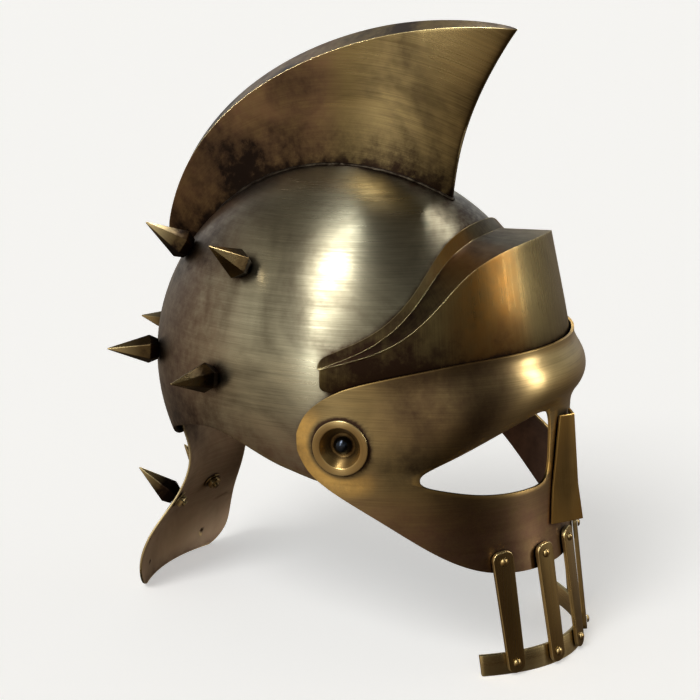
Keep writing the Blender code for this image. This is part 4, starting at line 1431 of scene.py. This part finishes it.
def add_light(name, kind, way, distance, power, lit=off_the_paper, **settings):
    """A lamp that faces the bowl's middle from a way."""
    lamp = bpy.data.lights.new(name, kind)
    lamp.energy = power
    for key, value in settings.items():
        setattr(lamp, key, value)
    holder = bpy.data.objects.new(name, lamp)
    bpy.context.scene.collection.objects.link(holder)
    holder.location = ring_middle + way * distance
    holder.rotation_euler = way.to_track_quat("Z", "Y").to_euler()
    if kind == "AREA":
        holder.light_linking.receiver_collection = lit
        holder.visible_camera = False


add_light("broad_lamp", "SUN", camera_way(-0.37, 0.57, 0.73), 3.0, 1.2, angle=math.radians(24))
add_light(
    "strip_softbox", "AREA", camera_way(-0.36, 0.50, 0.73), 1.5, 17.0, shape="RECTANGLE",
    size=0.22, size_y=2.2, color=(0.90, 0.96, 1.0),
)
add_light(
    "overhead_softbox", "AREA", camera_way(0.3, 1.0, -0.2), 1.6, 13.0, shape="RECTANGLE",
    size=0.8, size_y=0.35,
)
add_light(
    "side_softbox", "AREA", camera_way(1.0, 0.35, 0.25), 1.7, 12.0, shape="RECTANGLE",
    size=0.25, size_y=0.9,
)
add_light(
    "rim_strip", "AREA", camera_way(-0.71, 0.69, -0.10), 1.6, 30.0, lit=crest_alone,
    shape="RECTANGLE", size=0.25, size_y=1.3,
)
add_light(
    "back_softbox", "AREA", camera_way(-0.05, 0.35, -0.94), 1.7, 26.0, lit=crest_alone,
    shape="RECTANGLE", size=0.20, size_y=0.20,
)

room = bpy.data.worlds.new("studio_room")
bpy.context.scene.world = room
room.use_nodes = True
room_tree = room.node_tree
room_way = add_node(room_tree, "TexCoord", out="Generated")
room_rise = add_node(room_tree, "SeparateXYZ", None, {"Vector": room_way}, out="Z")
room_height = add_node(room_tree, "MapRange", {"range": (-1.0, 1.0)}, {"Value": room_rise})
room_light = add_node(room_tree, "ValToRGB", {"stops": (
    (0.00, (0.020, 0.014, 0.010, 1.0)),
    (0.30, (0.110, 0.080, 0.055, 1.0)),
    (0.45, (0.330, 0.275, 0.215, 1.0)),
    (0.53, (0.500, 0.490, 0.450, 1.0)),
    (0.64, (0.720, 0.760, 0.760, 1.0)),
    (0.76, (0.280, 0.290, 0.280, 1.0)),
    (0.90, (0.110, 0.100, 0.090, 1.0)),
)}, {"Fac": room_height})
# A pale wall on the left, far off, and a dark doorway on the right, which the brow and the
# forehead plate mirror as a brown band
room_colour = room_light
for way, reach, blending, colour in (
    (camera_way(-0.84, -0.15, 0.52), (0.1, 1.0), "ADD", (0.33, 0.285, 0.23, 1.0)),
    (camera_way(0.72, -0.22, 0.66), (0.80, 0.96, 0.0, 0.92), "MIX", (0.030, 0.018, 0.010, 1.0)),
):
    facing = add_node(
        room_tree, "VectorMath", {"operation": "DOT_PRODUCT", 1: way}, {0: room_way}, out="Value"
    )
    share = add_node(
        room_tree, "MapRange", {"interpolation_type": "SMOOTHSTEP", "range": reach},
        {"Value": facing},
    )
    room_colour = add_node(
        room_tree, "Mix", {"data_type": "RGBA", "blend_type": blending, 7: colour},
        {0: share, 6: room_colour}, out=2,
    )
add_node(room_tree, room_tree.nodes["Background"], {"Strength": 1.0}, {"Color": room_colour})


# The camera stands where the photograph was taken from, ahead of the right side and a little
# above it. Its picture is shifted by whole pixels to lay the helmet where the photograph has it.
bpy.context.scene.view_settings.view_transform = "Standard"
camera = bpy.data.cameras.new("camera")
camera.lens = CAMERA_LENS
camera.sensor_width = 36.0
camera.shift_x = -1 / PHOTO_SIZE
camera.shift_y = 8 / PHOTO_SIZE
camera.clip_start = 0.01
viewer = bpy.data.objects.new("camera", camera)
bpy.context.scene.collection.objects.link(viewer)
viewer.location = ring_middle + camera_back * CAMERA_DISTANCE
viewer.rotation_euler = camera_back.to_track_quat("Z", "Y").to_euler()
bpy.context.scene.camera = viewer
